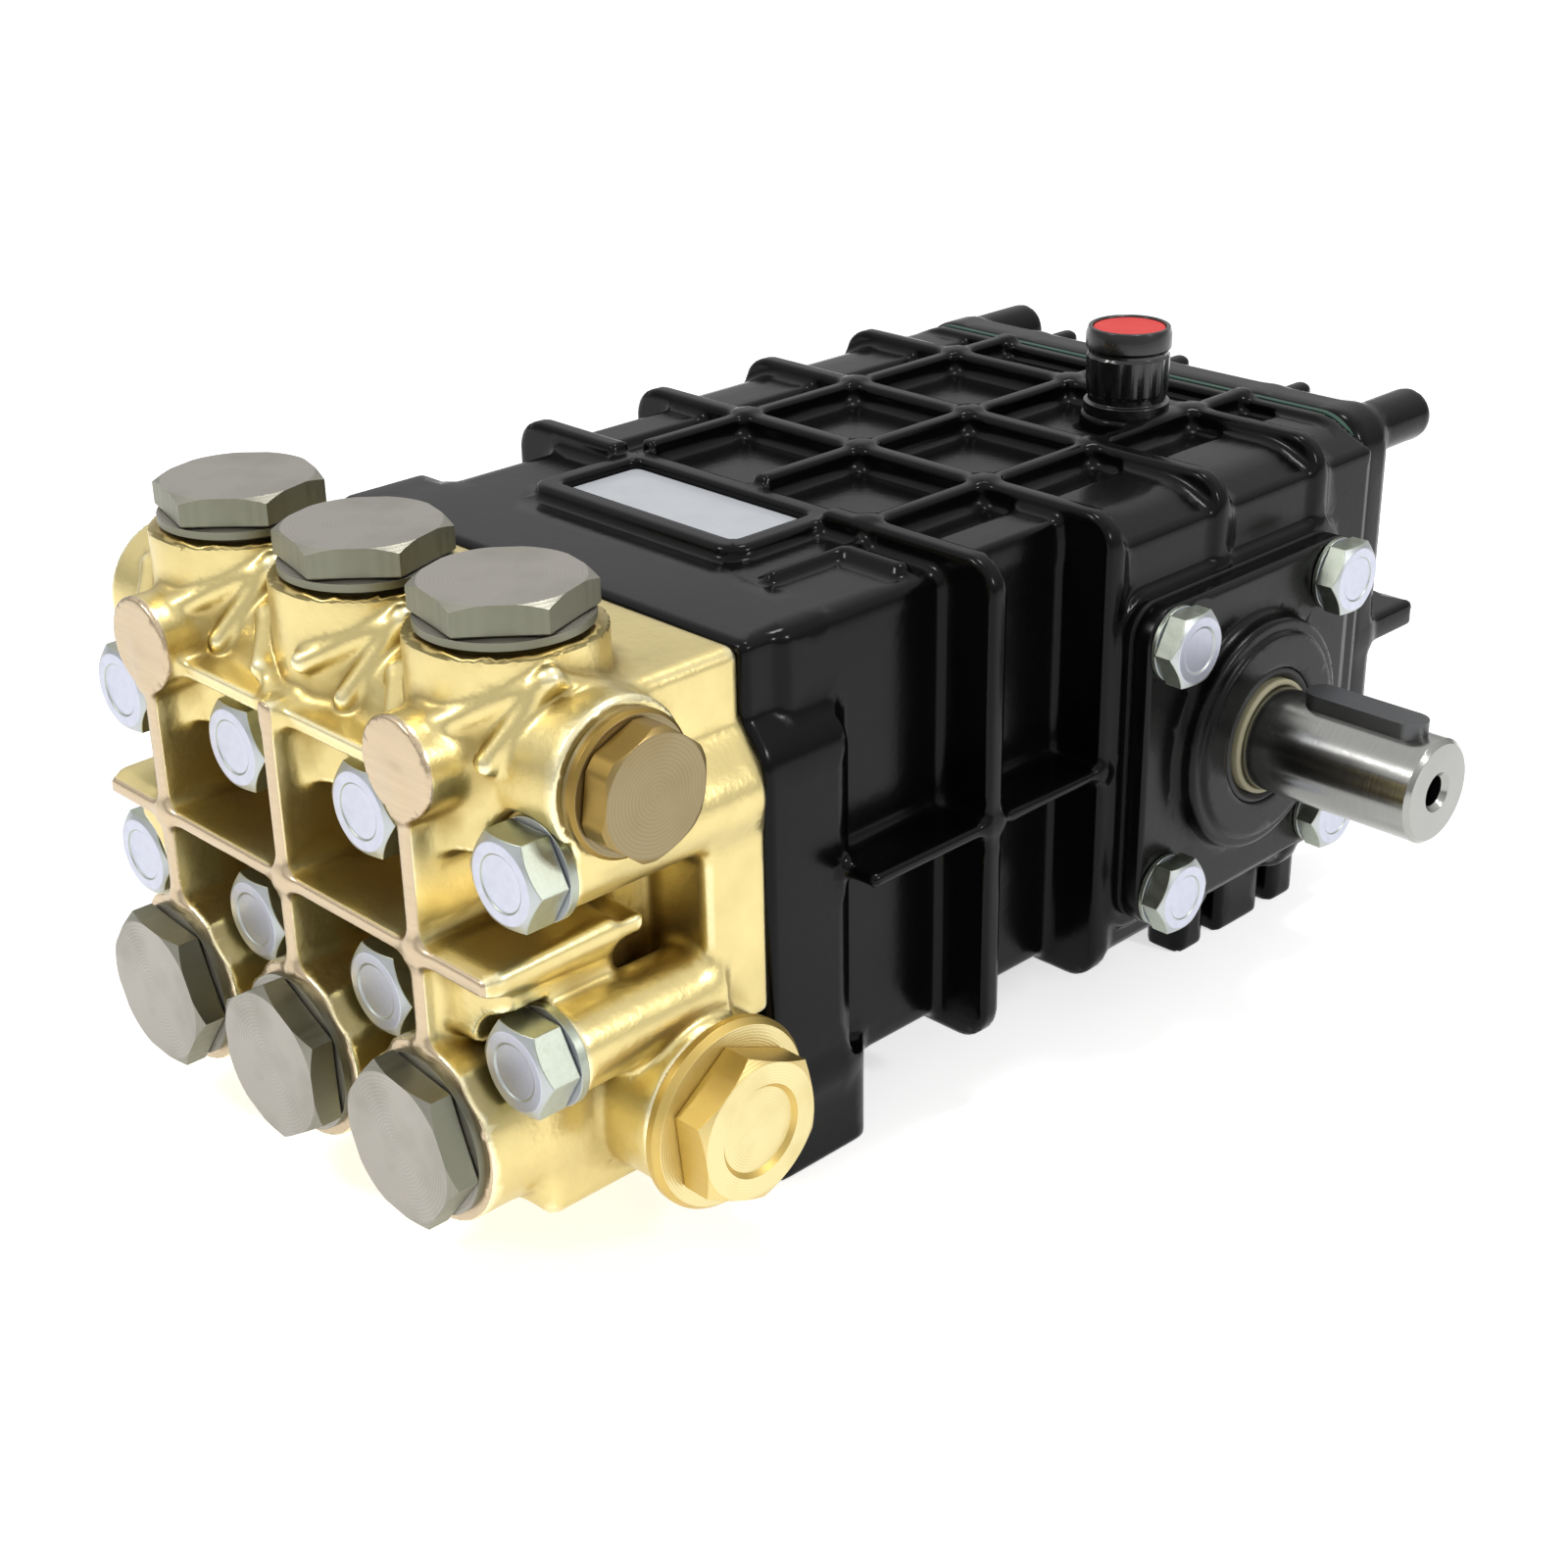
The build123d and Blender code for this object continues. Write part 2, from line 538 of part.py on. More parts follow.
# Closed case of the crankcase casting, between the front flange and the rear gasket
with BuildPart() as crankcase:
    with BuildSketch(rear_plane(FRONT_BLOCK_REAR_Y)):
        with BuildLine():
            Polyline(*narrow_points(), close=True)
        make_face()
    extrude(amount=CASE_REAR_Y - FRONT_BLOCK_REAR_Y)
    with BuildSketch(rear_plane(HOOPS[1])):
        with BuildLine():
            Polyline(*wide_points(), close=True)
        make_face()
    extrude(amount=CASE_REAR_Y - HOOPS[1])
    # Raised strips along the top edges of the first bay
    with BuildSketch(Plane.XY.offset(CASE_TOP_Z - FUSE_DEPTH)):
        for side in (-1, 1):
            strip_x = CASE_MID_X + side * (EDGE_STRIP_INNER_X + CASE_HALF_X) / 2
            with Locations((strip_x, (HOOPS[0] + HOOPS[1]) / 2)):
                Rectangle(CASE_HALF_X - EDGE_STRIP_INNER_X, HOOP_PITCH - HOOP_T)
    extrude(amount=FUSE_DEPTH + EDGE_STRIP_H)
    # Hoop ribs round the wide rear
    for y in HOOPS[2:]:
        with BuildSketch(rear_plane(y - HOOP_T / 2)):
            with Locations(case_point(0, (HOOP_BOTTOM_Z + HOOP_TOP_Z) / 2)):
                RectangleRounded(2 * HOOP_HALF_X, HOOP_TOP_Z - HOOP_BOTTOM_Z, HOOP_CORNER_R)
        extrude(amount=HOOP_T)
    # Rim that carries the rear gasket
    with BuildSketch(rear_plane(CASE_REAR_Y - REAR_RIM_T)):
        with Locations(case_point(0, (COVER_BOTTOM_Z + COVER_TOP_Z) / 2)):
            RectangleRounded(2 * COVER_HALF_X, COVER_TOP_Z - COVER_BOTTOM_Z, COVER_CORNER_R)
    extrude(amount=REAR_RIM_T)
    # Lengthwise ribs on top
    with BuildSketch(Plane.XY.offset(CASE_TOP_Z - FUSE_DEPTH)):
        for x in TOP_RIBS:
            for start, end in (
                (HOOPS[0] + HOOP_T / 2, HOOPS[1] - HOOP_T / 2),
                (HOOPS[1] + HOOP_T / 2, CASE_REAR_Y),
            ):
                with Locations((x, (start + end) / 2)):
                    Rectangle(TOP_RIB_T, end - start)
    extrude(amount=HOOP_TOP_Z - CASE_TOP_Z + FUSE_DEPTH)
    # Bearing housings
    with BuildSketch(right_plane(CASE_MID_X - HOUSING_REACH)):
        with Locations((SHAFT_Y, SHAFT_Z)):
            RectangleRounded(2 * HOUSING_HALF, 2 * HOUSING_HALF, FLANGE_CORNER_R)
    extrude(amount=2 * HOUSING_REACH)
    # Rim of the label field, which interrupts the ribs
    with BuildSketch(Plane.XY.offset(CASE_TOP_Z)):
        with Locations((LABEL_MID_X, LABEL_MID_Y)):
            Rectangle(LABEL_X + 2 * LABEL_RIM, LABEL_Y + 2 * LABEL_RIM)
    extrude(amount=HOOP_TOP_Z - CASE_TOP_Z, mode=Mode.SUBTRACT)
    with BuildSketch(Plane.XY.offset(CASE_TOP_Z - FUSE_DEPTH)):
        with Locations((LABEL_MID_X, LABEL_MID_Y)):
            RectangleRounded(LABEL_X + 2 * LABEL_RIM, LABEL_Y + 2 * LABEL_RIM, LABEL_RIM)
            Rectangle(LABEL_X + 2 * LABEL_GAP, LABEL_Y + 2 * LABEL_GAP, mode=Mode.SUBTRACT)
    extrude(amount=FUSE_DEPTH + LABEL_RIM_H)
    # Filler neck boss
    with BuildSketch(Plane.XY.offset(CASE_TOP_Z - FUSE_DEPTH)):
        with Locations((FILLER_X, FILLER_Y)):
            Circle(FILLER_NECK_R)
    extrude(amount=FUSE_DEPTH + FILLER_NECK_H)
    # Journal bore and bolt holes of the bearing flanges
    with BuildSketch(right_plane(HOUSING_X)):
        with Locations((SHAFT_Y, SHAFT_Z)):
            Circle(JOURNAL_R + RUN_GAP)
    extrude(amount=-(JOURNAL_L + END_GAP), mode=Mode.SUBTRACT)
    for side in (-1, 1):
        with BuildSketch(side_plane(side, HOUSING_REACH)):
            with Locations((SHAFT_Y, SHAFT_Z)):
                with GridLocations(FLANGE_BOLT_SPAN, FLANGE_BOLT_SPAN, 2, 2):
                    Circle(FLANGE_BOLT_R + BORE_GAP)
        extrude(amount=-side * (FLANGE_BOLT_L + HOLE_END_GAP), mode=Mode.SUBTRACT)
save(crankcase, "crankcase")

# Front flange of the casting, behind the head, with the two front legs
with BuildPart() as case_front_flange:
    with BuildSketch(rear_plane(SEAM_Y)):
        with BuildLine():
            Polyline(*shoulder_points(CASE_BOTTOM_Z), close=True)
        make_face()
    extrude(amount=FRONT_BLOCK_REAR_Y - SEAM_Y)
    with BuildSketch(Plane.XY):
        for side in (-1, 1):
            with Locations((side * (LUG_X + LEG_INNER_X) / 2, (SEAM_Y + LEG_REAR_Y) / 2)):
                RectangleRounded(LUG_X - LEG_INNER_X, LEG_REAR_Y - SEAM_Y, LEG_CORNER_R)
    extrude(amount=CASE_BOTTOM_Z)
    # Foot holes from below
    with BuildSketch(Plane.XY):
        for side in (-1, 1):
            with Locations((side * FOOT_HOLE_X, -FOOT_HOLE_Y)):
                Circle(FOOT_HOLE_R)
    extrude(amount=FOOT_HOLE_DEPTH, mode=Mode.SUBTRACT)
save(case_front_flange, "case_front_flange")

# Rear feet of the casting with a nub before and behind each
with BuildPart() as case_rear_feet:
    with BuildSketch(Plane.XY):
        for side in (-1, 1):
            with Locations((side * (REAR_FOOT_X + LEG_INNER_X) / 2, FOOT_HOLE_Y)):
                Rectangle(REAR_FOOT_X - LEG_INNER_X, 2 * REAR_FOOT_HALF_Y)
            for step in (-FOOT_NUB_STEP, FOOT_NUB_STEP):
                with Locations((side * (REAR_FOOT_X - FOOT_NUB_T / 2), FOOT_HOLE_Y + step)):
                    Rectangle(FOOT_NUB_T, FOOT_NUB_T)
    extrude(amount=CASE_BOTTOM_Z)
    # Space of the last hoop, which dips below the case
    with BuildSketch(rear_plane(HOOPS[3] - HOOP_T / 2)):
        with Locations(case_point(0, (HOOP_BOTTOM_Z + HOOP_TOP_Z) / 2)):
            RectangleRounded(2 * HOOP_HALF_X, HOOP_TOP_Z - HOOP_BOTTOM_Z, HOOP_CORNER_R)
    extrude(amount=HOOP_T, mode=Mode.SUBTRACT)
    # Foot holes from below
    with BuildSketch(Plane.XY):
        for side in (-1, 1):
            with Locations((side * FOOT_HOLE_X, FOOT_HOLE_Y)):
                Circle(FOOT_HOLE_R)
    extrude(amount=FOOT_HOLE_DEPTH, mode=Mode.SUBTRACT)
save(case_rear_feet, "case_rear_feet")

# Two front hoop ribs of the casting, open round the case and interrupted by the label field
with BuildPart() as case_hoop_ribs:
    for y in HOOPS[:2]:
        with BuildSketch(rear_plane(y - HOOP_T / 2)):
            with Locations(case_point(0, (HOOP_BOTTOM_Z + HOOP_TOP_Z) / 2)):
                RectangleRounded(2 * HOOP_HALF_X, HOOP_TOP_Z - HOOP_BOTTOM_Z, HOOP_CORNER_R)
        extrude(amount=HOOP_T)
    with BuildSketch(rear_plane(SEAM_Y)):
        with BuildLine():
            Polyline(*narrow_points(), close=True)
        make_face()
    extrude(amount=CASE_REAR_Y - SEAM_Y, mode=Mode.SUBTRACT)
    with BuildSketch(rear_plane(HOOPS[1])):
        with BuildLine():
            Polyline(*wide_points(), close=True)
        make_face()
    extrude(amount=CASE_REAR_Y - HOOPS[1], mode=Mode.SUBTRACT)
    with BuildSketch(Plane.XY.offset(CASE_TOP_Z)):
        with Locations((LABEL_MID_X, LABEL_MID_Y)):
            Rectangle(LABEL_X + 2 * LABEL_RIM, LABEL_Y + 2 * LABEL_RIM)
    extrude(amount=HOOP_TOP_Z - CASE_TOP_Z, mode=Mode.SUBTRACT)
    with BuildSketch(right_plane(CASE_MID_X - HOUSING_REACH)):
        with Locations((SHAFT_Y, SHAFT_Z)):
            RectangleRounded(2 * HOUSING_HALF, 2 * HOUSING_HALF, FLANGE_CORNER_R)
    extrude(amount=2 * HOUSING_REACH, mode=Mode.SUBTRACT)
save(case_hoop_ribs, "case_hoop_ribs")

# Lengthwise ribs on both sides of the casting
with BuildPart() as case_side_ribs:
    with BuildSketch(Plane.XY.offset(SIDE_RIB_Z - SIDE_RIB_T / 2)):
        for side in (-1, 1):
            rib_x = CASE_MID_X + side * (CASE_HALF_X + HOOP_HALF_X) / 2
            for start, end in (
                (FRONT_BLOCK_REAR_Y, HOOPS[0] - HOOP_T / 2),
                (HOOPS[0] + HOOP_T / 2, HOOPS[1] - HOOP_T / 2),
            ):
                with Locations((rib_x, (start + end) / 2)):
                    Rectangle(HOOP_HALF_X - CASE_HALF_X, end - start)
    extrude(amount=SIDE_RIB_T)
save(case_side_ribs, "case_side_ribs")

# Blank label plate
with BuildPart() as label_plate:
    with BuildSketch(Plane.XY.offset(CASE_TOP_Z)):
        with Locations((LABEL_MID_X, LABEL_MID_Y)):
            RectangleRounded(LABEL_X, LABEL_Y, LABEL_CORNER_R)
    extrude(amount=LABEL_T)
save(label_plate, "label_plate")

FLANGE_REACH = HOUSING_REACH + SHIM_T
PLATE_REACH = FLANGE_REACH + FLANGE_T
HUB_REACH = PLATE_REACH + HUB_H


def bearing_shim(side):
    with BuildPart() as shim:
        with BuildSketch(side_plane(side, HOUSING_REACH)):
            with Locations((SHAFT_Y, SHAFT_Z)):
                RectangleRounded(2 * FLANGE_HALF, 2 * FLANGE_HALF, FLANGE_CORNER_R)
                Circle(JOURNAL_R + SHAFT_CLEARANCE, mode=Mode.SUBTRACT)
                with GridLocations(FLANGE_BOLT_SPAN, FLANGE_BOLT_SPAN, 2, 2):
                    Circle(FLANGE_BOLT_R + BORE_GAP, mode=Mode.SUBTRACT)
        extrude(amount=side * SHIM_T)
    return shim


def bearing_flange(side):
    with BuildPart() as flange:
        with BuildSketch(side_plane(side, FLANGE_REACH)):
            with Locations((SHAFT_Y, SHAFT_Z)):
                RectangleRounded(2 * FLANGE_HALF, 2 * FLANGE_HALF, FLANGE_CORNER_R)
        extrude(amount=side * FLANGE_T)
        for radius, height in ((HUB_R, HUB_H), (HUB_FACE_R, HUB_H + HUB_FACE_H)):
            with BuildSketch(side_plane(side, PLATE_REACH)):
                with Locations((SHAFT_Y, SHAFT_Z)):
                    Circle(radius)
            extrude(amount=side * height)
        with BuildSketch(side_plane(side, PLATE_REACH)):
            with Locations((SHAFT_Y, SHAFT_Z)):
                with GridLocations(FLANGE_BOLT_SPAN, FLANGE_BOLT_SPAN, 2, 2):
                    Circle(FLANGE_BOLT_R + BORE_GAP)
        extrude(amount=-side * FLANGE_T, mode=Mode.SUBTRACT)
        if side > 0:
            for radius, depth in ((SHAFT_R + SHAFT_CLEARANCE, HUB_H + HUB_FACE_H + FLANGE_T), (SEAL_R, SEAL_T)):
                with BuildSketch(side_plane(side, HUB_REACH + HUB_FACE_H)):
                    with Locations((SHAFT_Y, SHAFT_Z)):
                        Circle(radius)
                extrude(amount=-depth, mode=Mode.SUBTRACT)
    return flange


def flange_washers(side):
    with BuildPart() as washers:
        with BuildSketch(side_plane(side, PLATE_REACH)):
            with Locations((SHAFT_Y, SHAFT_Z)):
                with GridLocations(FLANGE_BOLT_SPAN, FLANGE_BOLT_SPAN, 2, 2):
                    Circle(FLANGE_WASHER_R)
                    Circle(FLANGE_BOLT_R + BORE_GAP, mode=Mode.SUBTRACT)
        extrude(amount=side * FLANGE_WASHER_T)
    return washers


def flange_bolts(side):
    with BuildPart() as bolts:
        with BuildSketch(side_plane(side, PLATE_REACH + FLANGE_WASHER_T)):
            with Locations((SHAFT_Y, SHAFT_Z)):
                with GridLocations(FLANGE_BOLT_SPAN, FLANGE_BOLT_SPAN, 2, 2):
                    RegularPolygon(hexagon_across(FLANGE_BOLT_AF), 6)
        extrude(amount=side * FLANGE_BOLT_H)
        with BuildSketch(side_plane(side, PLATE_REACH + FLANGE_WASHER_T)):
            with Locations((SHAFT_Y, SHAFT_Z)):
                with GridLocations(FLANGE_BOLT_SPAN, FLANGE_BOLT_SPAN, 2, 2):
                    Circle(FLANGE_BOLT_R)
        extrude(amount=-side * (FLANGE_WASHER_T + FLANGE_T + SHIM_T + FLANGE_BOLT_L))
    return bolts


for side, end in ((1, "drive"), (-1, "blind")):
    save(bearing_shim(side), f"bearing_shim_{end}")
    save(bearing_flange(side), f"bearing_flange_{end}")
    save(flange_washers(side), f"flange_washers_{end}")
    save(flange_bolts(side), f"flange_bolts_{end}")

# Shaft seal in the drive flange
with BuildPart() as shaft_seal:
    for radius, height in ((SEAL_R, SEAL_T - SEAL_PROUD), (SEAL_LIP_R, SEAL_T + SEAL_PROUD)):
        with BuildSketch(side_plane(1, HUB_REACH + HUB_FACE_H - SEAL_T)):
            with Locations((SHAFT_Y, SHAFT_Z)):
                Circle(radius)
                Circle(SHAFT_R + RUN_GAP, mode=Mode.SUBTRACT)
        extrude(amount=height)
save(shaft_seal, "shaft_seal")

# Crankshaft with its keyway and centre tapping
with BuildPart() as crankshaft:
    for radius, end_x in ((JOURNAL_R, HOUSING_X + SHIM_T - END_GAP), (SHAFT_R, SHAFT_END_X)):
        with BuildSketch(right_plane(JOURNAL_END_X)):
            with Locations((SHAFT_Y, SHAFT_Z)):
                Circle(radius)
        extrude(amount=end_x - JOURNAL_END_X)
    chamfer(crankshaft.faces().sort_by(Axis.X)[-1].edges(), SHAFT_CHAMFER)
    with BuildSketch(Plane.XY.offset(SHAFT_Z + SHAFT_R - KEY_DEPTH)):
        with Locations((KEY_END_X - KEY_L / 2, SHAFT_Y)):
            SlotOverall(KEY_L, KEY_W)
    extrude(amount=KEY_DEPTH + SHAFT_CLEARANCE, mode=Mode.SUBTRACT)
    with BuildSketch(right_plane(SHAFT_END_X)):
        with Locations((SHAFT_Y, SHAFT_Z)):
            Circle(TAPPING_R)
    extrude(amount=-TAPPING_DEPTH, mode=Mode.SUBTRACT)
save(crankshaft, "crankshaft")

with BuildPart() as shaft_key:
    with BuildSketch(Plane.XY.offset(SHAFT_Z + SHAFT_R - KEY_DEPTH)):
        with Locations((KEY_END_X - KEY_L / 2, SHAFT_Y)):
            SlotOverall(KEY_L, KEY_W)
    extrude(amount=KEY_H)
save(shaft_key, "shaft_key")

# Rear gasket and rear cover
with BuildPart() as rear_gasket:
    with BuildSketch(rear_plane(CASE_REAR_Y)):
        with Locations(case_point(0, (COVER_BOTTOM_Z + COVER_TOP_Z) / 2)):
            RectangleRounded(2 * COVER_HALF_X, COVER_TOP_Z - COVER_BOTTOM_Z, COVER_CORNER_R)
    extrude(amount=GASKET_T)
save(rear_gasket, "rear_gasket")

COVER_BOLTS = [
    (CASE_MID_X + side * COVER_BOLT_X, z)
    for side in (-1, 1)
    for z in (COVER_BOLT_LOW_Z, SHAFT_Z - COVER_BOLT_LOW_Z, COVER_BOLT_HIGH_Z)
]
COVER_BOLTS += [(CASE_MID_X + side * TOP_RIB_PITCH / 2, COVER_BOLT_LOW_Z) for side in (-1, 1)]
with BuildPart() as rear_cover:
    with BuildSketch(rear_plane(COVER_Y)):
        with Locations(case_point(0, (COVER_BOTTOM_Z + COVER_TOP_Z) / 2)):
            RectangleRounded(2 * COVER_HALF_X, COVER_TOP_Z - COVER_BOTTOM_Z, COVER_CORNER_R)
    extrude(amount=COVER_T)
    fillet(rear_cover.faces().sort_by(Axis.Y)[-1].edges(), COVER_EDGE_R)
    # Block on each side
    with BuildSketch(rear_plane(COVER_Y)):
        with Locations((-CASE_MID_X, (COVER_LUG_BOTTOM_Z + COVER_LUG_TOP_Z) / 2)):
            Rectangle(2 * (COVER_LUG_X - CASE_MID_X), COVER_LUG_TOP_Z - COVER_LUG_BOTTOM_Z)
    extrude(amount=COVER_T - COVER_EDGE_R)
    # Rods at the upper corners
    with BuildSketch(rear_plane(COVER_Y)):
        with Locations(case_point(-COVER_ROD_X, COVER_ROD_Z), case_point(COVER_ROD_X, COVER_ROD_Z)):
            Circle(COVER_ROD_R)
    extrude(amount=COVER_ROD_L)
    fillet(rear_cover.faces().sort_by(Axis.Y)[-2:].edges(), COVER_ROD_EDGE_R)
    # Fins in line with the ribs of the case
    with BuildSketch(rear_plane(COVER_Y)):
        for x in TOP_RIBS:
            with Locations((-x, (COVER_BOTTOM_Z + COVER_CORNER_R + COVER_FIN_TOP_Z) / 2)):
                Rectangle(COVER_FIN_T, COVER_FIN_TOP_Z - COVER_BOTTOM_Z - COVER_CORNER_R)
    extrude(amount=COVER_FIN_L)
    # Nub on each side
    with BuildSketch(rear_plane(COVER_Y)):
        for side in (-1, 1):
            nub_x = CASE_MID_X + side * ((COVER_NUB_X + COVER_NUB_INNER_X) / 2 - CASE_MID_X)
            with Locations((-nub_x, COVER_NUB_Z)):
                Rectangle(COVER_NUB_X - COVER_NUB_INNER_X, COVER_NUB_T)
    extrude(amount=COVER_NUB_L)
    with BuildSketch(rear_plane(COVER_BACK_Y)):
        for x, z in COVER_BOLTS:
            with Locations((-x, z)):
                Circle(COVER_BOLT_R + BORE_GAP)
    extrude(amount=-(COVER_BOLT_L + HOLE_END_GAP), mode=Mode.SUBTRACT)
save(rear_cover, "rear_cover")

with BuildPart() as rear_cover_bolts:
    with BuildSketch(rear_plane(COVER_BACK_Y)):
        for x, z in COVER_BOLTS:
            with Locations((-x, z)):
                Circle(COVER_BOLT_HEAD_R)
    extrude(amount=COVER_BOLT_HEAD_H)
    with BuildSketch(rear_plane(COVER_BACK_Y)):
        for x, z in COVER_BOLTS:
            with Locations((-x, z)):
                Circle(COVER_BOLT_R)
    extrude(amount=-COVER_BOLT_L)
save(rear_cover_bolts, "rear_cover_bolts")

# Oil sight glass and drain plug on the rear cover, between its fins
SIGHT_X = CASE_MID_X + TOP_RIB_PITCH / 2
DRAIN_X = CASE_MID_X - TOP_RIB_PITCH / 2
with BuildPart() as sight_glass_ring:
    with BuildSketch(rear_plane(COVER_BACK_Y)):
        with Locations((-SIGHT_X, SIGHT_Z)):
            Circle(SIGHT_R)
            Circle(SIGHT_GLASS_R, mode=Mode.SUBTRACT)
    extrude(amount=SIGHT_T)
save(sight_glass_ring, "sight_glass_ring")

with BuildPart() as sight_glass:
    with BuildSketch(rear_plane(COVER_BACK_Y)):
        with Locations((-SIGHT_X, SIGHT_Z)):
            Circle(SIGHT_GLASS_R)
    extrude(amount=SIGHT_GLASS_T)
save(sight_glass, "sight_glass")

with BuildPart() as drain_plug:
    with BuildSketch(rear_plane(COVER_BACK_Y)):
        with Locations((-DRAIN_X, DRAIN_Z)):
            RegularPolygon(hexagon_across(DRAIN_AF), 6)
    extrude(amount=DRAIN_HEX_H)
save(drain_plug, "drain_plug")

# Oil filler with its red disc
FILLER_BASE_Z = CASE_TOP_Z + FILLER_NECK_H
with BuildPart() as oil_filler:
    with BuildSketch(Plane.XY.offset(FILLER_BASE_Z)):
        with Locations((FILLER_X, FILLER_Y)):
            Circle(FILLER_R)
    extrude(amount=FILLER_H)
    with BuildSketch(Plane.XY.offset(FILLER_BASE_Z + FILLER_H)):
        with Locations((FILLER_X, FILLER_Y)):
            Circle(FILLER_DISC_R)
    extrude(amount=-FILLER_DISC_T, mode=Mode.SUBTRACT)
save(oil_filler, "oil_filler")

with BuildPart() as oil_filler_disc:
    with BuildSketch(Plane.XY.offset(FILLER_BASE_Z + FILLER_H - FILLER_DISC_T)):
        with Locations((FILLER_X, FILLER_Y)):
            Circle(FILLER_DISC_R)
    extrude(amount=FILLER_DISC_T)
save(oil_filler_disc, "oil_filler_disc")
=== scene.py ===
"""Dressed view of a triplex plunger high-pressure pump, built round its CAD frame."""

import math
import types

import bpy
import numpy as np
import openvdb
from mathutils import Matrix, Vector


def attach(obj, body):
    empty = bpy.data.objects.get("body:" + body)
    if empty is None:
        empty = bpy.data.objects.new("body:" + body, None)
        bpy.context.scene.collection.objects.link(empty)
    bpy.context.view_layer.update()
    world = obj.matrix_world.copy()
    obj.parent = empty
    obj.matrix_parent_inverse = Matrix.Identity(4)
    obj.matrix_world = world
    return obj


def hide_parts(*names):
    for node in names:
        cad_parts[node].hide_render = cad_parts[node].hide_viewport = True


bl_info = {
    "name": "High-Pressure Pump",
    "version": (1, 0, 0),
    "blender": (4, 5, 0),
    "location": "View3D > Sidebar > Pump",
    "description": "Builds the castings, screws, caps, shaft and studio of a triplex plunger pump",
    "category": "Object",
}

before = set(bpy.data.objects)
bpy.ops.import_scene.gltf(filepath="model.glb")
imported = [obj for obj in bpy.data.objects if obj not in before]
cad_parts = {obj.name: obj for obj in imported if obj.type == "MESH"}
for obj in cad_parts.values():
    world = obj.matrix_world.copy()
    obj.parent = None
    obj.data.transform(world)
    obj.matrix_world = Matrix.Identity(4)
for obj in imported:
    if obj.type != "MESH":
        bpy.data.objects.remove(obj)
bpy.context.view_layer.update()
MM = 0.001
SIDES = (-1, 1)
CYLINDERS = (-1, 0, 1)
BOLT_COLUMNS = (-1.5, -0.5, 0.5, 1.5)
HOOPS = (0, 1, 2, 3)

# Hexagons across flats, in millimetres
CAP_FLATS = 31
DELIVERY_PLUG_FLATS = 24
SUCTION_PLUG_FLATS = 29
HEAD_BOLT_FLATS = 18
FLANGE_BOLT_FLATS = 16
DRAIN_PLUG_FLATS = 17
COVER_SCREW_SOCKET = 5

PORT_DEPTH = 15
PORT_WASHER = 1.5
HEAD_WASHER = 2
FLANGE_WASHER = 1.2
FLANGE_SCREW_HALF = 30
TOP_FIELD_HALF = 49.6
FILLER_PLACE = (33.5, 69)
ROUND_STEPS = 96

# Peak and feet of the gussets left and right of each tower, along X from the tower's axis
GUSSETS = (
    ((-18.5, -139.5, 119), ((-3, -150, 108), (-22, -123, 122), (-9, -148, 113))),
    ((20, -134, 127), ((5, -147.5, 118), (22, -119, 119), (14, -144.5, 112))),
)

# Name, place in metres, size in metres and power in watts
LAMPS = (
    ("key", (-0.25, -0.75, 0.85), 0.18, 3.6),
    ("side", (0.95, 0.25, 0.6), 0.14, 2.8),
    ("top", (0.1, 0.25, 1.1), 0.22, 3.4),
)
LAMP_TARGET = (0, 0, 0.06)
FLOOR_RADIUS = 6


def length(name, millimetres, about):
    """A length property whose default is given in millimetres."""
    return bpy.props.FloatProperty(
        name=name, description=about, default=millimetres * MM, precision=5, unit="LENGTH")


def angle(name, degrees, about):
    """An angle property whose default is given in degrees."""
    return bpy.props.FloatProperty(
        name=name, description=about, default=math.radians(degrees), subtype="ANGLE",
        unit="ROTATION")


def amount(name, default, about):
    """A property for a plain amount from 0 up."""
    return bpy.props.FloatProperty(name=name, description=about, default=default, min=0)


def linear(red, green, blue):
    """Linear colour of a screen colour with channels up to 255."""
    steps = [c / 255 for c in (red, green, blue)]
    return tuple(c / 12.92 if c <= 0.04045 else ((c + 0.055) / 1.055) ** 2.4 for c in steps)


def tone(name, red, green, blue, about):
    """A colour property whose default is given as a screen colour."""
    return bpy.props.FloatVectorProperty(
        name=name, description=about, default=linear(red, green, blue), size=3, min=0, max=1,
        subtype="COLOR")


class PumpHeadSizes(bpy.types.PropertyGroup):
    """Sizes of the brass head and of what is screwed into it."""
    pitch: length("Cylinder pitch", 43.5, "Distance between neighbouring cylinders")
    seam: length("Seam", -89, "Where the head meets the crankcase, along Y")
    barrel_front: length("Barrel front", -154.3, "Front face of the suction barrels, along Y")
    barrel_z: length("Barrel height", 32.2, "Height of the suction barrels' axes")
    tower_y: length("Tower axis", -127.7, "Axis of the delivery towers, along Y")
    tower_top: length("Tower top", 131.8, "Height of the towers' top faces")
    valve_r: length("Valve boss radius", 19.4, "Outer radius of the towers and barrels")
    delivery_z: length("Delivery height", 108.5, "Height of the upper gallery's axis")
    delivery_end: length("Delivery reach", 74.3, "Half length of the upper gallery")
    suction_y: length("Suction axis", -109.5, "Axis of the lower gallery, along Y")
    suction_z: length("Suction height", 32, "Height of the lower gallery's axis")
    suction_end: length("Suction reach", 77.5, "Half length of the lower gallery")
    web_y: length("Web face", -154.7, "Machined front edges of the webs, along Y")
    bolt_y: length("Bolt seat", -139.5, "Spot faces under the head bolts, along Y")
    bolt_upper_z: length("Upper bolt row", 92.2, "Height of the upper row of head bolts")
    bolt_lower_z: length("Lower bolt row", 52.6, "Height of the lower row of head bolts")


